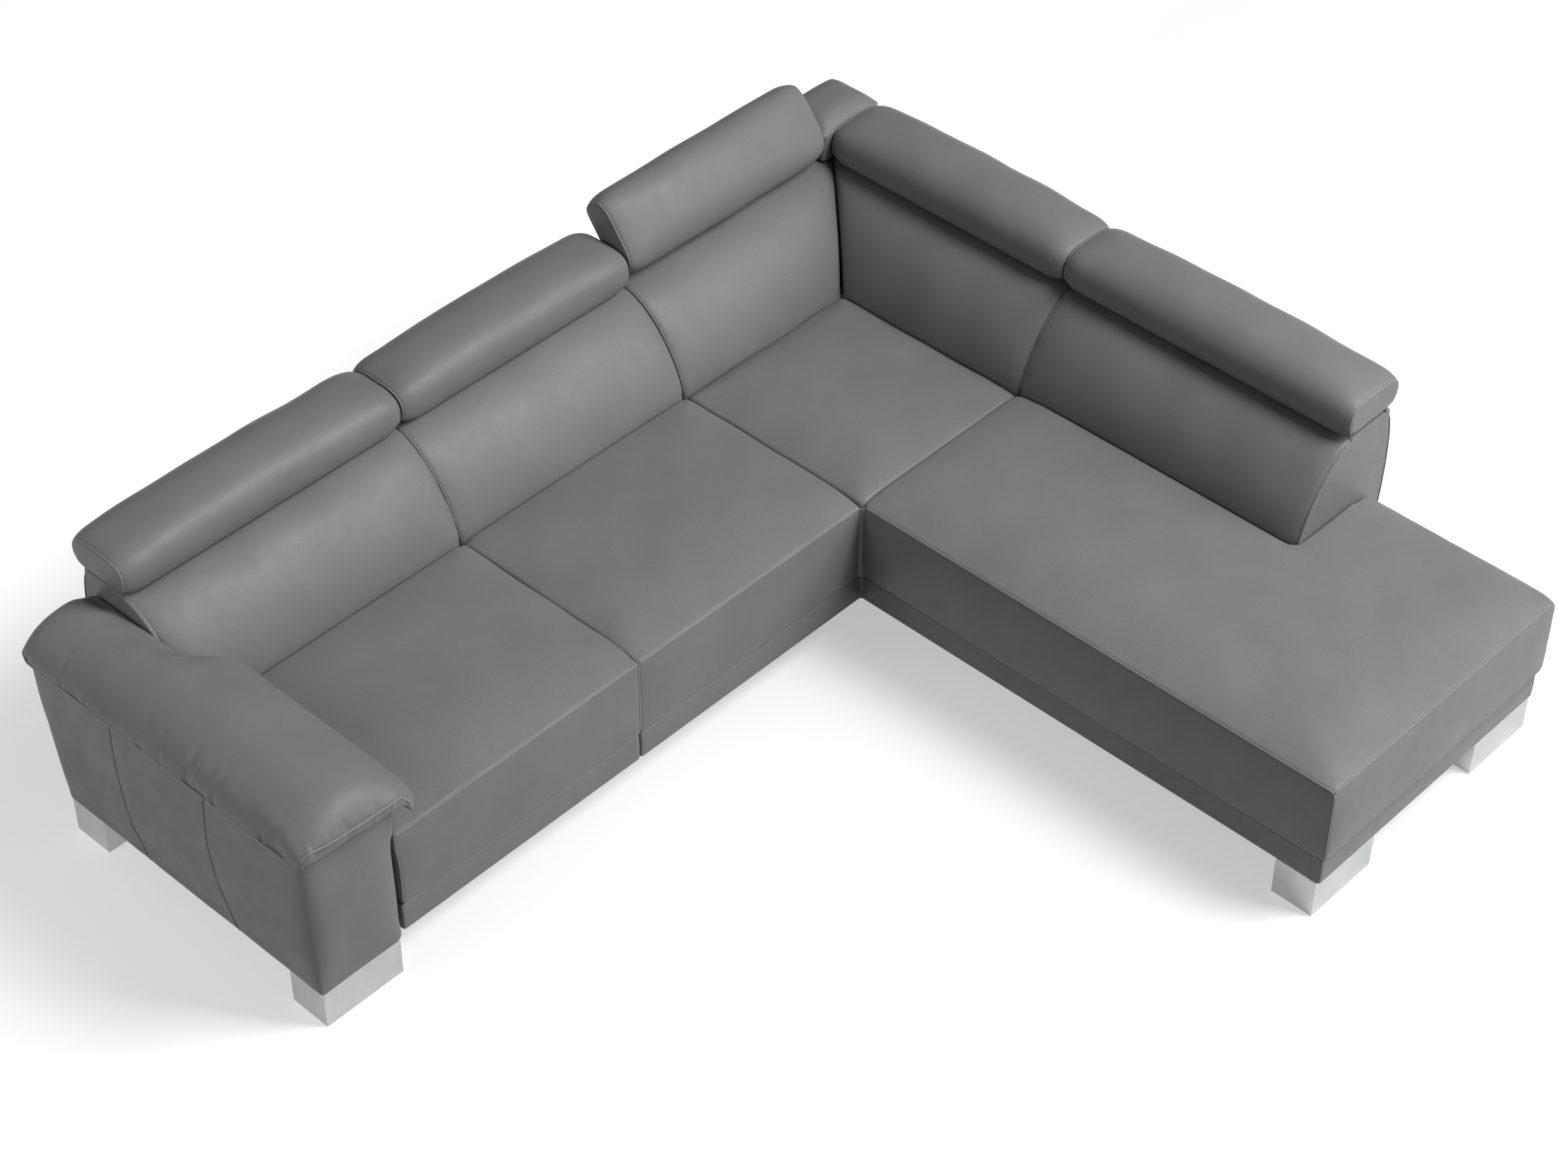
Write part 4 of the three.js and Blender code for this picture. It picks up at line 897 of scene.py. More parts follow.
def mitre(a, wing, other):
    """How far along its wing a corner back reaches, at a place across, to meet the other wing's."""
    return other["line"] + (a - wing["line"]) * other["slope"] / wing["slope"] + MITRE_GAP


def add_backs():
    add_back("back_left_leather", "back_cushion_left", LEFT, BACK_END, SPLIT + 1.0, (46, 42), (13, 8))
    add_back("back_centre_leather", "back_cushion_centre", LEFT, SPLIT - 1.0, 0.8, (42, 42), (8, 8))
    add_back("back_corner_leather", "back_cushion_corner", LEFT, -0.8, 690.0, (42, 12), (8, 2),
             end_at=lambda a: mitre(a, LEFT, CHAISE), seam_ends=(1, 0))
    add_back("back_side_leather", "back_cushion_side", CHAISE, -710.0, 1.0, (12, 42), (2, 8),
             start_at=lambda a: -mitre(a, CHAISE, LEFT), seam_ends=(0, 1))
    add_back("back_chaise_leather", "back_cushion_chaise", CHAISE, -1.0, CHAISE_BACK, (42, 46), (8, 13))


# Headrests

# The room for the fitting and the seat of its carrier plate, a little wider than the solids.
ROOM_ROUND, ROOM_HALF, PLATE_INSET = 25, 69.0, 60


def pivot_of(wing):
    """The line that a wing's headrests turn about."""
    return wing["line"] + wing["slope"] + 13, BACK_TOP + 65


def pad_outline(wing, longer):
    """A headrest pad lying flat, around its pivot: a thick front roll that runs out to the rear."""
    rear = wing["rear"] + longer - pivot_of(wing)[0]
    depth = rear + 42
    corners = [(-33, -59, 18, 0, 0.8), (-44, -40, 18, 0, 1), (-46, 2, 32, 0.1, 1), (-31, 33, 32, 0.4, 1),
               (6, 47, 32, 0.8, 1)]
    corners += [(-42 + depth * s, 48, 0, 1, 1) for s in (0.35, 0.45, 0.55, 0.65)]
    corners += [(rear - 46, 46, 32, 0.8, 1), (rear - 10, 31, 32, 0.5, 1), (rear + 2, -6, 28, 0.1, 1),
                (rear - 6, -40, 22, 0, 1), (rear - 24, -59, 14, 0, 0.8)]
    return rounded(corners, gap=7.0, soften=40.0)


def turned(a, z, degrees):
    """A place turned about the pivot, upwards from the front."""
    c, s = math.cos(math.radians(degrees)), math.sin(math.radians(degrees))
    return a * c - z * s, a * s + z * c


def add_headrest(number, wing, start, end, raised):
    outline = pad_outline(wing, 24 if raised else 9)
    pivot_a, pivot_z = pivot_of(wing)

    def place(s, a, z):
        a2, z2 = turned(a, z, raised)
        return wing["place"](s, a2 + pivot_a, z2 + pivot_z)
    row = stretch(start, end, 50, 12, 9.0, power=2.4)
    grid, faces = loft(outline, row, 20.0, place)
    obj = mesh_object(f"headrest_{number}_leather", grid.reshape(-1, 3), faces, LEATHER)
    remesh(obj, 8.0)
    lower = nearest_column(outline, -34, -56)
    heel = nearest_column(outline, outline["a"].max() - 10, -54)
    rings = [np.vstack([grid[i], grid[i][:1]]) for i in (0, -1)]
    lines = [grid[2:-2, lower], grid[2:-2, heel]]
    middle = (start + end) / 2

    def holds(co, n):
        across, along_wing = (co[:, 1], co[:, 0]) if wing is LEFT else (co[:, 0], -co[:, 1])
        a, z = turned(across - pivot_a, co[:, 2] - pivot_z, -raised)
        flank = np.abs(n[:, 0] if wing is LEFT else n[:, 1]) > 0.9
        at_end = np.minimum(along_wing - start, end - along_wing) < 5
        return np.where((z < -50) | (flank & at_end), 1.0, 0.0)

    def hollow(target):
        """The room for the fitting, open underneath, and the seat of its carrier plate."""
        angles = np.radians([30, 60, 90, 120, 150, 180])
        room = [(ROOM_ROUND * math.cos(t), ROOM_ROUND * math.sin(t)) for t in angles]
        room += [(-34, -70), (114, -70), (114, -47)]
        plate = [(19.7, -70), (132.3, -70), (132.3, -54.7), (19.7, -54.7)]
        plate_half = (end - start) / 2 - PLATE_INSET + 0.3
        for section, half in ((room, ROOM_HALF), (plate, plate_half)):
            cut_away(target, mesh_object("tool", *prism(section, (middle - half, middle + half), place)))
    soft(obj, f"headrest_{number}", [f"headrest_{number}_pad"], rings, holds, cap=9.0, fill=0.9, shrink=2.0,
         dark=lines, calm=6, wavy=1.5, hollow=hollow)


def add_headrests():
    add_headrest(1, LEFT, BACK_END - 14, SPLIT - 2, 0)
    add_headrest(2, LEFT, SPLIT + 2, -2, 0)
    add_headrest(3, LEFT, 2, 728, 53.5)
    add_headrest(4, CHAISE, -803, -10, 0)
    add_headrest(5, CHAISE, -8, 885, 0)


def add_corner_pad():
    points, faces = cushion(731.5, 956, 807, 985, BACK_TOP + 0.3, 770, 797, (54, 44, 54, 44), crown=4.0,
                            bulges=(0, 2, 1, 2), gap=8.0)
    obj = mesh_object("corner_pad_leather", points, faces, LEATHER)
    remesh(obj, 8.0)
    z = 770
    loop = [[(732, 808, z), (955, 808, z), (955, 984, z), (732, 984, z), (732, 808, z)]]
    soft(obj, SOFA, ["corner_pad"], loop, held_below(BACK_TOP + 6), cap=6.0, fill=0.8, shrink=2.0)


# Armrest

# Behind the seat the arm leans back and stays outside the back's free end.
ARM_TOP, ARM_FRONT, ARM_REAR, ARM_LEANS_FROM, ARM_LEAN = 575.0, -10, 895, 602, 48


def add_arm():
    corners = [
        (ARM_OUTER, FOOT_TOP, 12, 0, 0.1),
        (ARM_OUTER - 7, 274, 0, 1, 1),
        (ARM_OUTER - 12, 400, 0, 1, 1),
        (ARM_OUTER - 18, ARM_TOP, 16, 0, 0.5),
        (ARM_INNER + 20, ARM_TOP - 14, 14, 0, 0.3),
        (ARM_INNER + 17, 473, 0, 0, 0.5),
        (ARM_INNER + 7, 399, 0, 0, 0.5),
        (ARM_INNER + 11, 250, 0, 0, 0.5),
        (ARM_INNER + 10, FOOT_TOP, 6, 0, 0.05),
    ]
    outline = rounded(corners, gap=10.0)
    row = stretch(ARM_FRONT, ARM_REAR, 20, 15, 10.0)

    def place(s, a, z):
        behind = np.clip((s - ARM_LEANS_FROM) / (ARM_REAR - ARM_LEANS_FROM), 0, 1)
        low = np.clip(1 - (z - FOOT_TOP) / (ARM_TOP - FOOT_TOP), 0, 1)
        y = s + ARM_LEAN * (1 - low ** 1.9) * behind
        x = np.where(s > ARM_LEANS_FROM, np.minimum(a, BACK_END - 0.3), a)
        return x, y, z
    grid, faces = loft(outline, row, 9.0, place)
    obj = mesh_object("arm_leather", grid.reshape(-1, 3), faces, LEATHER)
    remesh(obj, 10.0)
    outside = [
        [(-1822, 637, 566), (-1819, 637, 511), (-1817, 629, 370), (-1813, 622, 231), (-1806, 597, 116)],
        [(-1822, 310, 566), (-1819, 310, 519), (-1817, 313, 399), (-1815, 303, 260), (-1806, 279, 116)],
    ]

    def holds(co, n):
        ends = (co[:, 2] > 556) | (co[:, 2] < 118)
        inner = ((co[:, 1] > 600) & (co[:, 0] > -1625)) | (co[:, 0] > -1558)
        return np.where(ends | inner, 1.0, 0.0)
    crown = nearest_column(outline, ARM_OUTER - 17, 566)

    def hang_over_foot(co, n):
        """The leather bellies a little over the top of the foot."""
        low = np.clip((170 - co[:, 2]) / 55, 0, 1)
        low = low * low * (3 - 2 * low)
        co[:, 1] -= 7 * low * np.clip(-n[:, 1] * 1.6, 0, 1) * (co[:, 1] < 40)
        co[:, 0] -= 4 * low * np.clip(-n[:, 0] * 1.6, 0, 1)
        ahead = np.clip((-6 - co[:, 1]) / 4, 0, 1) * (co[:, 2] < 128) * (n[:, 2] < 0.1)
        co[:, 2] -= 5 * ahead
        return co
    soft(obj, SOFA, ["arm_body"], [grid[3:-3, crown]], holds, cap=8.0, fill=0.8, shrink=3.0, stitched=outside,
         pressed=2.8, detail=hang_over_foot)


# The pillow hangs over the arm's outer side to its lip and over the seat to its nose. Its front rolls down
# over a run to a hem. Beside the back it turns outwards and its crown sinks, each from a place over a length.
PILLOW_FRONT, PILLOW_REAR, PILLOW_REST = -50.0, 947.0, 575.3
LIP, NOSE, PILLOW_SEAT = ARM_OUTER - 35.0, ARM_INNER + 80.0, ARM_INNER + 16.0
HEM, PILLOW_RUN, PILLOW_RISE, NOSE_UNDER = 34.0, 96, 92, 32
PILLOW_TURN, PILLOW_SINK, SINK_SHARE = (530, 115), (400, 380), 0.14


def pillow_outline():
    """The pillow across its front part: lip, crown, nose and the underside that rests on the arm."""
    top, outer = PILLOW_REST, ARM_OUTER - 18.0
    corners = [(LIP + 1, top - 13, 5, 0, 1), (LIP - 3, top + 16, 24, 0.1, 1)]
    crown_shares = ((0.06, 0.52, 0.3), (0.16, 0.79, 0.5), (0.27, 0.94, 0.8), (0.4, 1, 1), (0.52, 0.99, 1),
                    (0.62, 0.92, 1), (0.74, 0.74, 0.8), (0.84, 0.48, 0.6), (0.92, 0.14, 0.4))
    for run, rise, crown in crown_shares:
        corners.append((LIP + (NOSE - LIP) * run, top + PILLOW_RISE * rise, 24, crown, 1))
    corners += [
        (NOSE + 2, top - 33, 24, 0.3, 1),
        (NOSE - 3, top - 66, 15, 0, 1),
        (NOSE - NOSE_UNDER, top - 66.3, 12, 0, 1),
        (PILLOW_SEAT + 8, top - 20, 0, 0, 1),
        (PILLOW_SEAT + 0.4, top - 14, 0, 0, 0),
        (outer, top, 0, 0, 0),
        (outer, top - 13, 0, 0, 0),
    ]
    return rounded(corners, gap=7.0, soften=24.0)


def pillow_foot(a):
    """The height of the pillow's lower edge across its width."""
    places = [LIP, LIP + 17, LIP + 20, PILLOW_SEAT, NOSE - NOSE_UNDER, NOSE]
    return np.interp(a, places, [562, 562, 574, 561, 509, 509])


def add_pillow():
    outline = pillow_outline()
    row = stretch(PILLOW_FRONT, PILLOW_REAR, PILLOW_RUN, 0, 9.0, 40, 24, power=2.0)
    middle, narrowest = (ARM_OUTER + ARM_INNER) / 2, BACK_END + 0.5
    on_top = np.arange(len(outline["a"])) < nearest_column(outline, NOSE - 3, PILLOW_REST - 52)

    def place(s, a, z):
        """The front rolls down to its hem. Beside the back the inner side turns out and stands fuller."""
        ahead = np.clip((s - PILLOW_FRONT) / PILLOW_RUN, 0, 1)
        knee = pillow_foot(a) + HEM
        rolled = (1 - (1 - ahead) ** 2.2) ** 0.62
        z = np.where(z > knee, knee + (z - knee) * rolled, z)
        corner = np.abs((a - (LIP + NOSE) / 2) / ((NOSE - LIP) / 2)) ** 6
        t = np.clip((s - PILLOW_TURN[0]) / PILLOW_TURN[1], 0, 1)
        turn = t * t * (3 - 2 * t)
        low = np.clip((s - PILLOW_SINK[0]) / PILLOW_SINK[1], 0, 1)
        z = z - SINK_SHARE * low * low * (3 - 2 * low) * np.maximum(0, z - PILLOW_REST)
        share = np.maximum(0, (a - middle) / (NOSE - middle))
        run = (outline["a"] - LIP) / (NOSE - LIP)
        lift = np.interp(run, (0.74, 0.84, 0.92, 1), (0, 14, 40, 72))
        lift = np.where(on_top, lift, np.maximum(0, PILLOW_REST + 0.3 - outline["z"]))
        x = a + (narrowest - NOSE) * share * turn
        tip = np.clip((a - NOSE + 62) / 62, 0, 1) ** 2
        return x, s + (16 * corner + 22 * tip) * (1 - ahead) ** 2, z + lift * turn
    grid, faces = loft(outline, row, 12.0, place)
    obj = mesh_object("arm_pillow_leather", grid.reshape(-1, 3), faces, LEATHER)
    cut_away(obj, frame["nodes"]["back_cushion_left"], keep_tool=True)
    remesh(obj, 8.0)
    lip = nearest_column(outline, LIP + 1, 564)
    drop = nearest_column(outline, NOSE - 6, 510)
    hem_line = []
    for a in np.linspace(LIP + 4, NOSE - 30, 40):
        back = 14 * abs((a - (LIP + NOSE) / 2) / ((NOSE - LIP) / 2)) ** 6
        hem_line.append((a, PILLOW_FRONT + 1 + back, pillow_foot(a) + HEM))
    foot_line = [(a, y, z - HEM + 3) for a, y, z in hem_line]
    side_line = grid[3:-3, lip]
    seams = [side_line, grid[12:60, drop], hem_line]

    def holds(co, n):
        beside = (co[:, 1] > 590) & (co[:, 0] > -1650) & (n[:, 0] > 0.2)
        hem = (co[:, 1] < PILLOW_FRONT + 4) & (n[:, 1] < -0.7)
        return np.where(((n[:, 2] < -0.5) & (co[:, 2] < 600)) | beside | hem, 1.0, 0.0)

    def gathers(co, n):
        """Short folds that run up from the side seam and back from the front seam, and a creased hem."""
        d_lip, run = distances(co, [side_line])
        d_front, run_front = distances(co, [hem_line])
        rng = np.random.default_rng(5)
        fold = np.zeros(len(co))
        for group in rng.uniform(30, 940, 10):
            for centre in group + rng.uniform(-45, 45, 4):
                wide, tall, deep = rng.uniform(6, 12), rng.uniform(26, 74), rng.uniform(1.2, 3.0)
                slant = rng.uniform(-0.2, 0.2) * d_lip
                fold -= deep * np.exp(-((run - centre + slant) / wide) ** 2) * np.exp(-(d_lip / tall) ** 2)
        for centre in rng.uniform(10, 350, 22):
            wide, tall, deep = rng.uniform(5, 9), rng.uniform(12, 30), rng.uniform(0.6, 1.5)
            fold -= deep * np.exp(-((run_front - centre) / wide) ** 2) * np.exp(-(d_front / tall) ** 2)
        free = (n[:, 2] > -0.3) * (1 - np.exp(-(np.minimum(d_lip, d_front) / 4) ** 2))
        co = co + n * (fold * free)[:, None]
        hem = (n[:, 1] < -0.6) & (co[:, 1] < PILLOW_FRONT + 8) & (co[:, 2] < pillow_foot(co[:, 0]) + HEM)
        inner = np.clip((co[:, 0] + 1730) / 90, 0, 1) * np.clip((NOSE - 20 - co[:, 0]) / 40, 0, 1)
        ripple = 0.5 + 0.5 * np.sin(co[:, 0] / 5.5 + 2.4 * np.sin(co[:, 0] / 23))
        co[:, 1] += np.where(hem, 1.3 * inner * ripple, 0)
        return co
    soft(obj, SOFA, ["arm_pillow"], seams, holds, cap=11.0, fill=0.6, shrink=3.0, extra=0.003, detail=gathers,
         wavy=0.7, calm=5, folds=[foot_line], welt=2.5)


# Panels and covers


def plain_piece(name, node, outline, row, swell, place, start_at=None, end_at=None):
    """A tight piece whose leather lies on its board."""
    grid, faces = loft(outline, row, swell, place, start_at, end_at)
    obj = mesh_object(name, grid.reshape(-1, 3), faces, LEATHER)
    for face in obj.data.polygons:
        if len(face.vertices) > 4:
            face.use_smooth = False
    attribute = obj.data.attributes.new("seam_near", "FLOAT", "POINT")
    attribute.data.foreach_set("value", np.zeros(len(obj.data.vertices), np.float32))
    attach(obj, SOFA)
    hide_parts(node)
    return grid


def panel_outline(front):
    corners = [(front, FOOT_TOP, 5, 0, 1), (front - 1.5, 153, 0, 1, 1), (front, BASE_TOP, 6, 0, 1),
               (40, BASE_TOP, 0, 0, 0), (40, FOOT_TOP, 0, 0, 0)]
    return rounded(corners, gap=5.0, soften=0)


def add_panels():
    lines = []
    for key, (x0, x1) in {"left": (LEFT_END, SPLIT - 1.5), "centre": (SPLIT + 1.5, 11.6)}.items():
        outline = panel_outline(5)
        row = stretch(x0, x1, 8, 5, 14.0)
        grid = plain_piece(f"base_{key}_leather", f"base_panel_{key}", outline, row, 1.5, LEFT["place"])
        lines.append(grid[2:-2, nearest_column(outline, 6, BASE_TOP)])
    outline = panel_outline(12)
    behind_front = -CHAISE_END - 40.3
    column = nearest_column(outline, 13, BASE_TOP)
    for key, row, place in (
        ("front", stretch(12, CHAISE_WIDTH - 12, 8, 5, 14.0), lambda s, a, z: (s, a + CHAISE_END, z)),
        ("side", stretch(-4.6, behind_front, 3, 1, 14.0), CHAISE["place"]),
        ("right", stretch(-behind_front, -883, 6, 2, 14.0), lambda s, a, z: (CHAISE_WIDTH - a, s, z)),
    ):
        grid = plain_piece(f"base_{key}_leather", f"base_panel_{key}", outline, row, 1.5, place)
        lines.append(grid[2:-2, column])
    return lines


def add_joint_lining():
    """A leather strip behind the joint of the centre seat and the chaise, so that no light falls through."""
    strip = [(-13, 9), (9, -13), (12, -10), (-10, 12)]
    points, faces = [], []
    for ends, x0, y0 in (((SEAT_BOTTOM + 2, SEAT_EDGE - 8), 0, 0), ((FOOT_TOP + 2, BASE_TOP - 1), 12, 5)):
        section = [(x + x0, y + y0) for x, y in strip]
        piece_points, piece_faces = prism(section, ends, lambda z, x, y: (x, y, z))
        faces += [tuple(len(points) + k for k in face) for face in piece_faces]
        points += piece_points
    obj = mesh_object("joint_lining_leather", points, faces, LEATHER)
    obj.data.polygons.foreach_set("use_smooth", [False] * len(faces))
    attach(obj, SOFA)


def add_top_linings():
    """Leather over the top boards and their free ends, open round the foot of each headrest bracket."""
    feet = []
    for number in range(1, 6):
        bracket = to_plan(coordinates(frame["nodes"][f"headrest_{number}_bracket"]))
        foot = bracket[bracket[:, 2] < BACK_TOP + 4]
        feet.append((foot.min(axis=0) - 1, foot.max(axis=0) + 1))
    low, high = BACK_TOP + 0.2, BACK_TOP + 2.2
    first, last, foot = BACK_END + 12, CHAISE_BACK - 12, low - 14
    sections = {
        "left": (LEFT, [(first - 2, foot), (first, foot), (first, low), (-2, low), (-2, high),
                        (first - 2, high)]),
        "corner": (LEFT, [(2, low), (726, low), (726, high), (2, high)]),
        "chaise": (CHAISE, [(-806, low), (last, low), (last, foot), (last + 2, foot), (last + 2, high),
                            (-806, high)]),
    }
    for key, (wing, section) in sections.items():
        # The sections run the other way round than prism wants, so each face is turned over.
        across = wing["line"] + wing["slope"] + 44, wing["rear"] - 21
        points, faces = prism(section, across, lambda a, s, z: wing["place"](s, a, z))
        lining = mesh_object(f"top_lining_{key}", points, [face[::-1] for face in faces], LEATHER)
        least, most = np.min(points, axis=0), np.max(points, axis=0)
        for foot_low, foot_high in feet:
            if np.all(foot_low[:2] < most[:2]) and np.all(foot_high[:2] > least[:2]):
                cut_away(lining, box_object((*foot_low[:2], BACK_TOP - 5), (*foot_high[:2], BACK_TOP + 9)))
        lining.data.polygons.foreach_set("use_smooth", [False] * len(lining.data.polygons))
        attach(lining, SOFA)


# The rear covers turn at these heights.
COVER_HIGH, COVER_MIDDLE, COVER_LOW = SEAT_TOP + 159.5, SEAT_TOP + 59.5, SEAT_TOP - 59.5


def cover_outline(wing):
    """A rear cover's padded outside and its flat inside."""
    rear = wing["rear"]
    outer = [(rear - 20, BACK_TOP), (rear - 4, COVER_HIGH), (rear, COVER_MIDDLE), (rear - 6, COVER_LOW),
             (rear - 70, FOOT_TOP)]
    corners = [(outer[0][0], outer[0][1], 5, 0, 1)]
    corners += [(a, z, 60, 1, 1) for a, z in outer[1:4]] + [(outer[4][0], outer[4][1], 5, 0, 1)]
    corners += [(a - 18, z, 0, 0, 0) for a, z in outer[::-1]]
    return rounded(corners, gap=9.0, soften=30.0)


def end_panel_outline(wing, low):
    """The flat end of a back: its curved front seam, its top and the lean of the rear cover."""
    face, rear = back_face(wing), wing["rear"]
    way = np.gradient(face, axis=0)
    way /= np.linalg.norm(way, axis=1)[:, None]
    inside = face + np.column_stack([way[:, 1], -way[:, 0]]) * END_ROLL
    corners = [(inside[0, 0], low, 0, 0, 1)] + [(a, z, 0, 0, 1) for a, z in inside if z < BACK_TOP - 10]
    corners += [(inside[-1, 0], BACK_TOP - 6, 10, 0, 1), (rear - 23, BACK_TOP - 6, 8, 0, 1)]
    corners += [(rear - 7, COVER_HIGH, 40, 0, 1), (rear - 3, COVER_MIDDLE, 40, 0, 1),
                (rear - 9, COVER_LOW, 40, 0, 1)]
    foot = 73 if low < SEAT_BOTTOM else 9 + 64 * (COVER_LOW - low) / (COVER_LOW - FOOT_TOP)
    return rounded(corners + [(rear - foot, low, 0, 0, 1)], gap=7.0)


def add_end_panels():
    """The end panels, with their stitched front curves and their piped rear edges."""
    lines, rear_edges = [], []
    for name, node, wing, (start, end), low in (
        ("end_left_leather", "rear_cover_left", LEFT, (BACK_END - 1.2, BACK_END + 16), FOOT_TOP + 1),
        ("end_chaise_leather", "rear_cover_chaise", CHAISE, (CHAISE_BACK - 16, CHAISE_BACK + 1.2), 205.0),
    ):
        outline = end_panel_outline(wing, low)
        grid = plain_piece(name, node, outline, stretch(start, end, 3, 2.5, 5.0), 0.0, wing["place"])
        face = back_face(wing)
        first = nearest_column(outline, face[0, 0] + END_ROLL, SEAT_TOP)
        last = nearest_column(outline, face[-1, 0] + 9, BACK_TOP - 8)
        ring = 0 if wing is LEFT else -1
        low_end, high_end = sorted((first, last))
        lines.append(grid[ring, low_end:high_end + 1])
        rear = wing["rear"]
        top = nearest_column(outline, rear - 12, BACK_TOP - 20)
        low_end, high_end = sorted((top, nearest_column(outline, rear - 62, low)))
        rear_edges.append(grid[ring, low_end:high_end + 1])
    return lines, rear_edges


def add_covers():
    left_rear, side_rear = LEFT["rear"], CHAISE["rear"]
    pieces = (
        ("left", LEFT, stretch(BACK_END, -3, 12, 5, 16.0), {}),
        ("corner", LEFT, stretch(3, side_rear, 12, 5, 16.0, 8, 2),
         {"end_at": lambda a: side_rear - (left_rear - a) - 0.4}),
        ("chaise", CHAISE, stretch(-left_rear, CHAISE_BACK, 8, 2, 16.0, 12, 5),
         {"start_at": lambda a: -(left_rear - (side_rear - a) - 0.4)}),
    )
    lines = []
    for key, wing, row, slant in pieces:
        outline = cover_outline(wing)
        grid = plain_piece(f"rear_{key}_leather", f"rear_cover_{key}", outline, row, 3.0, wing["place"],
                           **slant)
        lines.append(grid[2:-2, nearest_column(outline, wing["rear"] - 18, BACK_TOP)])
    return lines


# Seams, welts and stitches


def laid_on(obj, line, lift):
    """A line laid on a piece's skin, lifted by some millimetres along its normal."""
    graph = bpy.context.evaluated_depsgraph_get()
    tree = BVHTree.FromObject(obj, graph)
    result = []
    for p in to_row(along(line, 6.0)):
        place, normal, _, gap = tree.find_nearest(Vector(p))
        if place is not None and gap < 0.03:
            result.append(np.array(place) + np.array(normal) * lift * MM)
    points = to_plan(result)
    for _ in range(3):
        points[1:-1] = (points[:-2] + 2 * points[1:-1] + points[2:]) / 4
    return points


def tube(lines, sides=8):
    """Round tubes along lines, each with its radius, pointed at both ends."""
    points, faces = [], []
    for line, radius in lines:
        if len(line) < 3:
            continue
        way = np.gradient(line, axis=0)
        way /= np.maximum(np.linalg.norm(way, axis=1)[:, None], 1e-9)
        side = np.cross(way, [0.31, 0.17, 0.93])
        side /= np.maximum(np.linalg.norm(side, axis=1)[:, None], 1e-9)
        for i in range(1, len(side)):
            if side[i] @ side[i - 1] < 0:
                side[i] = -side[i]
        over = np.cross(way, side)
        base = len(points)
        for i in range(len(line)):
            size = radius * (0.3 if i in (0, len(line) - 1) else 1)
            for k in range(sides):
                angle = 2 * math.pi * k / sides
                points.append(line[i] + (side[i] * math.cos(angle) + over[i] * math.sin(angle)) * size)
        for i in range(len(line) - 1):
            for k in range(sides):
                m = (k + 1) % sides
                faces.append((base + i * sides + k, base + i * sides + m, base + (i + 1) * sides + m,
                              base + (i + 1) * sides + k))
        faces.append(tuple(base + k for k in range(sides))[::-1])
        faces.append(tuple(base + (len(line) - 1) * sides + k for k in range(sides)))
    return points, faces


def stitch_group():
    """Lays a rounded stitch at even steps along each edge line and gives it its thread."""
    group = bpy.data.node_groups.new("stitch_row", "GeometryNodeTree")
    face = group.interface
    face.new_socket("Geometry", in_out="INPUT", socket_type="NodeSocketGeometry")
    for label in ("Pitch", "Length", "Width"):
        face.new_socket(label, in_out="INPUT", socket_type="NodeSocketFloat")
    face.new_socket("Thread", in_out="INPUT", socket_type="NodeSocketMaterial")
    face.new_socket("Geometry", in_out="OUTPUT", socket_type="NodeSocketGeometry")
    given = add_node(group, "NodeGroupInput").outputs
    curve = add_node(group, "GeometryNodeMeshToCurve", {"Mesh": given["Geometry"]})
    points = add_node(group, "GeometryNodeCurveToPoints", {"Curve": curve, "Length": given["Pitch"]},
                      mode="LENGTH").outputs
    ball = add_node(group, "GeometryNodeMeshUVSphere", {"Segments": 8, "Rings": 5, "Radius": 0.5})
    size = add_node(group, "ShaderNodeCombineXYZ",
                    {"X": given["Width"], "Y": given["Width"], "Z": given["Length"]})
    instances = add_node(group, "GeometryNodeInstanceOnPoints",
                         {"Points": points["Points"], "Instance": ball, "Rotation": points["Rotation"],
                          "Scale": size})
    real = add_node(group, "GeometryNodeRealizeInstances", {"Geometry": instances})
    shade = add_node(group, "GeometryNodeSetShadeSmooth", {"Geometry": real})
    paint = add_node(group, "GeometryNodeSetMaterial", {"Geometry": shade, "Material": given["Thread"]})
    add_node(group, "NodeGroupOutput", {"Geometry": paint})
    return group


STITCHES = stitch_group()
# Each stitch's pitch, length and width in metres.
FINE, BOLD, DARK_BOLD = (0.0062, 0.0044, 0.0014), (0.0085, 0.0055, 0.0017), (0.0085, 0.0052, 0.0021)


def add_stitches(name, lines, body, thread, stitch):
    """Stitches along lines, made by the node group and kept as a mesh."""
    points, edges = [], []
    for line in lines:
        base = len(points)
        points += to_row(line).tolist()
        edges += [(base + i, base + i + 1) for i in range(len(line) - 1)]
    data = bpy.data.meshes.new(name)
    data.from_pydata(points, edges, [])
    obj = bpy.data.objects.new(name, data)
    scene.collection.objects.link(obj)
    data.materials.append(thread)

    def setup(o):
        m = o.modifiers.new("stitches", "NODES")
        m.node_group = STITCHES
        values = dict(zip(("Pitch", "Length", "Width"), stitch), Thread=thread)
        for item in STITCHES.interface.items_tree:
            if item.in_out == "INPUT" and item.name in values:
                m[item.identifier] = values[item.name]
        return m
    carry_out(obj, setup)
    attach(obj, body)


def add_welts(name, lines, body, material):
    """Leather tubes along the seams of a body."""
    points, faces = tube(lines)
    obj = mesh_object(name, points, faces, material)
    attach(obj, body)


def beside(line, way, amount):
    """A line moved some millimetres to one side."""
    return np.asarray(line, float) + np.asarray(way, float) * amount


# How far the threads lie from their seams and the radii of the tubes, in millimetres.
TOPSTITCH_GAP, ARM_STITCH_GAP = 4.5, 3.5
PANEL_WELT, JOIN_RADIUS, PIPING_RADIUS = 2.0, 1.1, 1.6


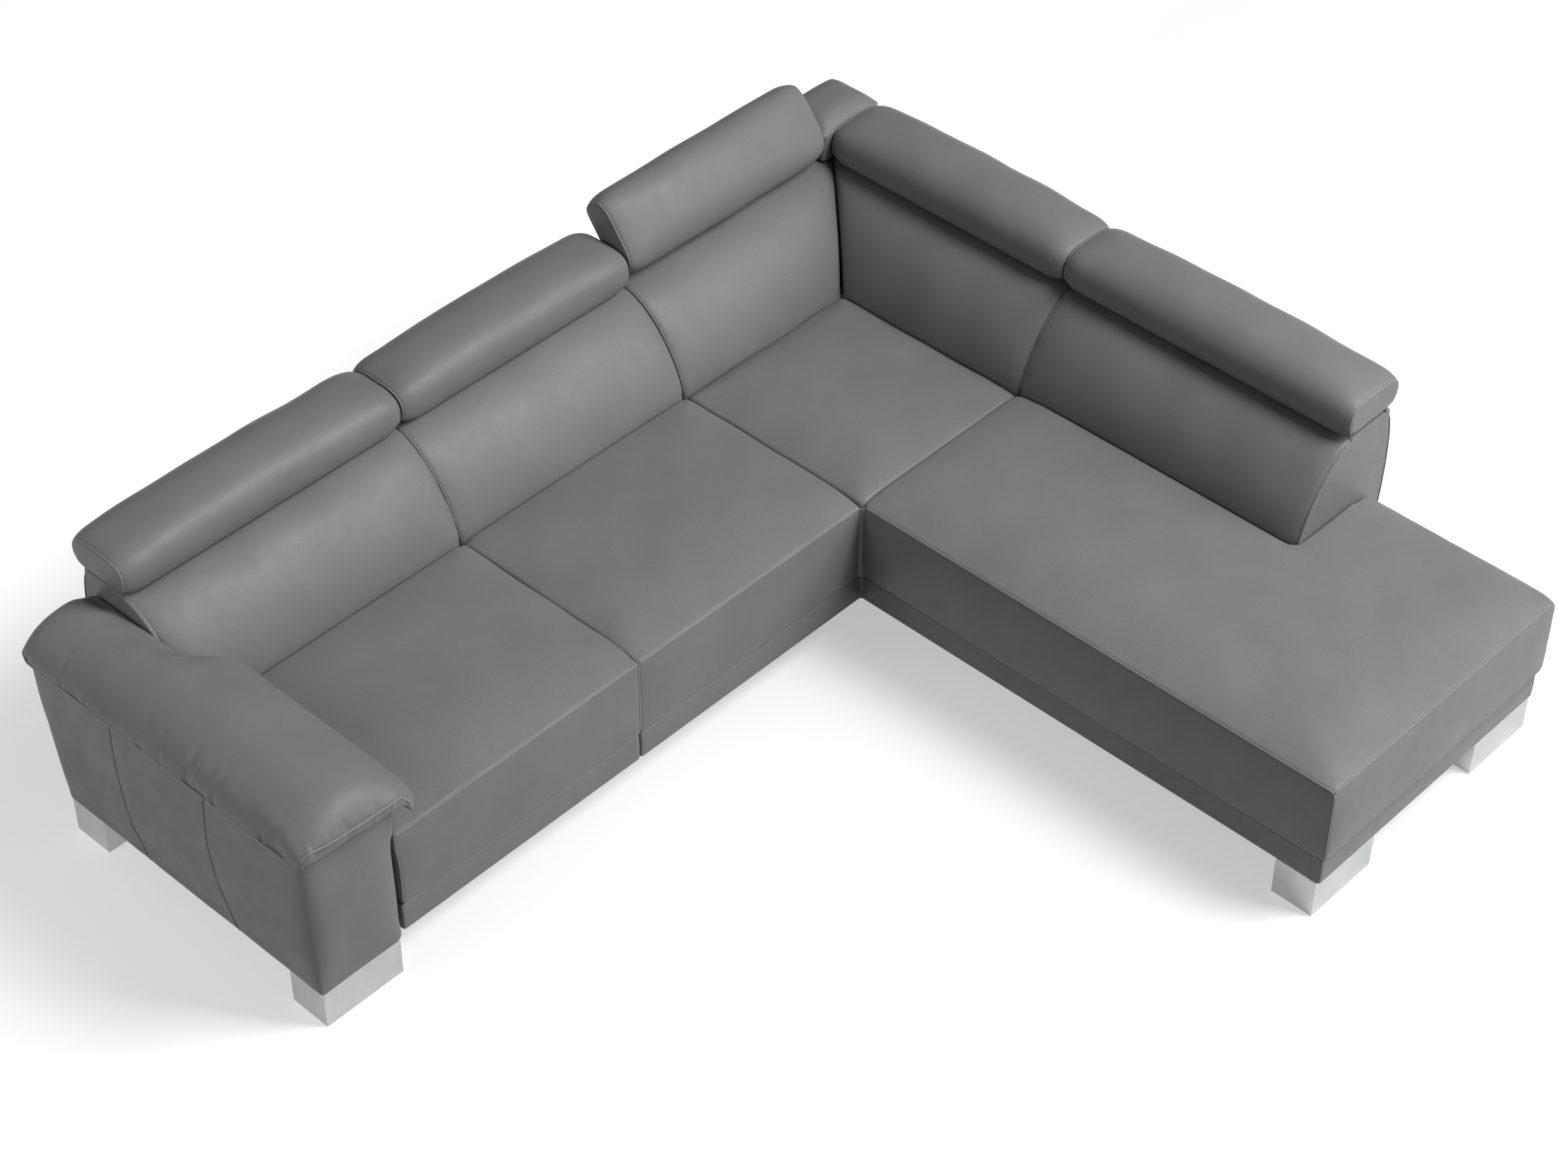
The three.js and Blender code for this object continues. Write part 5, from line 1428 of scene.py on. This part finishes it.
def swell_soft_pieces():
    """Steps the cloth of all soft pieces together and keeps what it gives."""
    for piece in SOFT:
        start_cloth(piece)
    for number in range(1, CLOTH_FRAMES + 1):
        scene.frame_set(number)
    graph = bpy.context.evaluated_depsgraph_get()
    for piece in SOFT:
        finish_cloth(piece, graph)
    for piece in SOFT:
        keep_cloth(piece)
    scene.frame_set(1)


def add_soft_seams(panel_lines, end_lines):
    """Welts, joins and threads, laid on the swollen pieces before their undersides are opened."""
    welts, rows, dark_rows, joins, bold = {}, {}, {}, [], []
    for piece in SOFT:
        obj, body = piece["obj"], piece["body"]
        for seam in piece["seams"]:
            line = laid_on(obj, seam, 0.3)
            if len(line) > 3:
                welts.setdefault(body, []).append((line, piece["welt"]))
        for seam in piece["stitched"]:
            joins.append((laid_on(obj, seam, 0.1), JOIN_RADIUS))
            bold.append(laid_on(obj, beside(seam, (0, -1, 0), ARM_STITCH_GAP), 0.3))
        for seam in piece["dark"]:
            dark_rows.setdefault(body, []).append(laid_on(obj, seam, 0.0))
    welts[SOFA] += [(along(line, 8.0), PANEL_WELT) for line in panel_lines]
    rows[SOFA] = [along(line, 4.0) for line in end_lines]
    edge, front, wide = SEAT_EDGE, CHAISE_END, CHAISE_WIDTH
    for key, line, way in (
        ("left", [(LEFT_END + 6, 0, edge), (SPLIT - 8, 0, edge)], (0, 1, 0.6)),
        ("centre", [(SPLIT + 8, 0, edge), (-8, 0, edge)], (0, 1, 0.6)),
        ("chaise", [(0, -10, edge), (0, front + 6, edge)], (1, 0, 0.6)),
        ("chaise", [(6, front, edge), (wide - 7, front, edge)], (0, 1, 0.6)),
        ("chaise", [(wide, front + 6, edge), (wide, -890, edge)], (-1, 0, 0.6)),
        ("chaise", [(0, front, edge - 6), (0, front, SEAT_BOTTOM + 6)], (1, 0, 0)),
    ):
        piece = next(p for p in SOFT if p["obj"].name == f"seat_{key}_leather")
        laid = laid_on(piece["obj"], beside(along(line), way, TOPSTITCH_GAP), 0.35)
        if len(laid) > 3:
            rows[SOFA].append(laid)
    return welts, rows, dark_rows, joins, bold


add_seats()
add_corner_seat()
add_chaise()
add_backs()
add_headrests()
add_corner_pad()
add_arm()
add_pillow()
base_lines = add_panels()
add_joint_lining()
add_top_linings()
cover_lines = add_covers()
front_lines, rear_lines = add_end_panels()
swell_soft_pieces()
welts, rows, dark_rows, joins, bold = add_soft_seams(base_lines + cover_lines, front_lines)

for piece in SOFT:
    if piece["hollow"]:
        piece["hollow"](piece["obj"])

# The welts are lighter than the leather: a painted highlight along the seams.
for body, lines in welts.items():
    add_welts(f"{body}_welts", lines, body, WELT)
# The end piping and the arm's joins are darker than the leather: painted shade along those edges.
add_welts("end_piping", [(along(line, 8.0), PIPING_RADIUS) for line in rear_lines], SOFA, DARK_WELT)
add_welts("arm_joins", joins, SOFA, DARK_WELT)
add_stitches("arm_stitches", bold, SOFA, THREAD, BOLD)
for body, lines in rows.items():
    add_stitches(f"{body}_stitches", lines, body, THREAD, FINE)
for body, lines in dark_rows.items():
    add_stitches(f"{body}_dark_stitches", lines, body, DARK_THREAD, DARK_BOLD)

# Floor and light: the photo's floor runs into a white ground, so the floor glows and glows more far behind.

FLOOR_HALF, WHITE = 30.0, (1, 1, 1, 1)
GLOW_FROM, GLOW_TO, GLOW_NEAR, GLOW_FAR = 1.35, 2.1, 0.475, 0.68
WORLD_FILL = 0.11


def add_floor():
    """A plain pale floor. What the sofa reflects of it is darker than what the camera sees."""
    half = FLOOR_HALF
    corners = [(-half, -half, 0), (half, -half, 0), (half, half, 0), (-half, half, 0)]
    data = bpy.data.meshes.new("floor")
    data.from_pydata(corners, [], [(0, 1, 2, 3)])
    floor = bpy.data.objects.new("floor", data)
    scene.collection.objects.link(floor)
    material = bpy.data.materials.new("plain_white_floor")
    material.use_nodes = True
    tree = material.node_tree
    tree.nodes.clear()
    path = add_node(tree, "ShaderNodeLightPath").outputs
    seen = add_node(tree, "ShaderNodeMath", {0: path["Is Camera Ray"], 1: path["Is Glossy Ray"]},
                    operation="MAXIMUM")
    seen = add_node(tree, "ShaderNodeMath", {0: seen, 1: path["Is Transmission Ray"]}, operation="MAXIMUM")
    unseen = add_node(tree, "ShaderNodeBsdfDiffuse", {"Color": rgb("#9a9a9a")})
    diffuse = add_node(tree, "ShaderNodeBsdfDiffuse", {"Color": rgb("#d2d2d2")})
    place = add_node(tree, "ShaderNodeSeparateXYZ", {0: own_place(tree)})
    behind = {"Value": place.outputs["Y"], "From Min": GLOW_FROM, "From Max": GLOW_TO, "To Min": GLOW_NEAR,
              "To Max": GLOW_FAR}
    behind = add_node(tree, "ShaderNodeMapRange", behind, interpolation_type="SMOOTHSTEP")
    glow = add_node(tree, "ShaderNodeEmission", {"Color": WHITE, "Strength": behind})
    both = add_node(tree, "ShaderNodeAddShader", {0: diffuse, 1: glow})
    chosen = add_node(tree, "ShaderNodeMixShader", {0: seen, 1: unseen, 2: both})
    add_node(tree, "ShaderNodeOutputMaterial", {"Surface": chosen})
    data.materials.append(material)


def add_world():
    """White to the camera and a faint fill to the sofa."""
    world = bpy.data.worlds.new("studio")
    scene.world = world
    world.use_nodes = True
    tree = world.node_tree
    tree.nodes.clear()
    path = add_node(tree, "ShaderNodeLightPath").outputs
    fill = add_node(tree, "ShaderNodeBackground", {"Color": WHITE, "Strength": WORLD_FILL})
    seen = add_node(tree, "ShaderNodeBackground", {"Color": WHITE, "Strength": 1.0})
    chosen = add_node(tree, "ShaderNodeMixShader", {0: path["Is Camera Ray"], 1: fill, 2: seen})
    add_node(tree, "ShaderNodeOutputWorld", {"Surface": chosen})


def add_lamp(name, place, size, watts, target=(0.2, 0.0, 0.3)):
    """A square softbox that faces its target."""
    data = bpy.data.lights.new(name, "AREA")
    data.shape = "SQUARE"
    data.size = size
    data.energy = watts
    lamp = bpy.data.objects.new(name, data)
    scene.collection.objects.link(lamp)
    lamp.location = place
    lamp.rotation_euler = (Vector(target) - Vector(place)).to_track_quat("-Z", "Y").to_euler()


add_floor()
add_world()
add_lamp("key_softbox", (2.7, -3.9, 7.0), 3.2, 560)
add_lamp("front_softbox", (5.0, -6.5, 4.4), 4.2, 305, (-0.4, 1.0, 0.6))
add_lamp("side_softbox", (-3.2, 1.0, 2.0), 1.3, 21, (-1.4, 0.6, 0.4))
scene.view_settings.view_transform = "Standard"
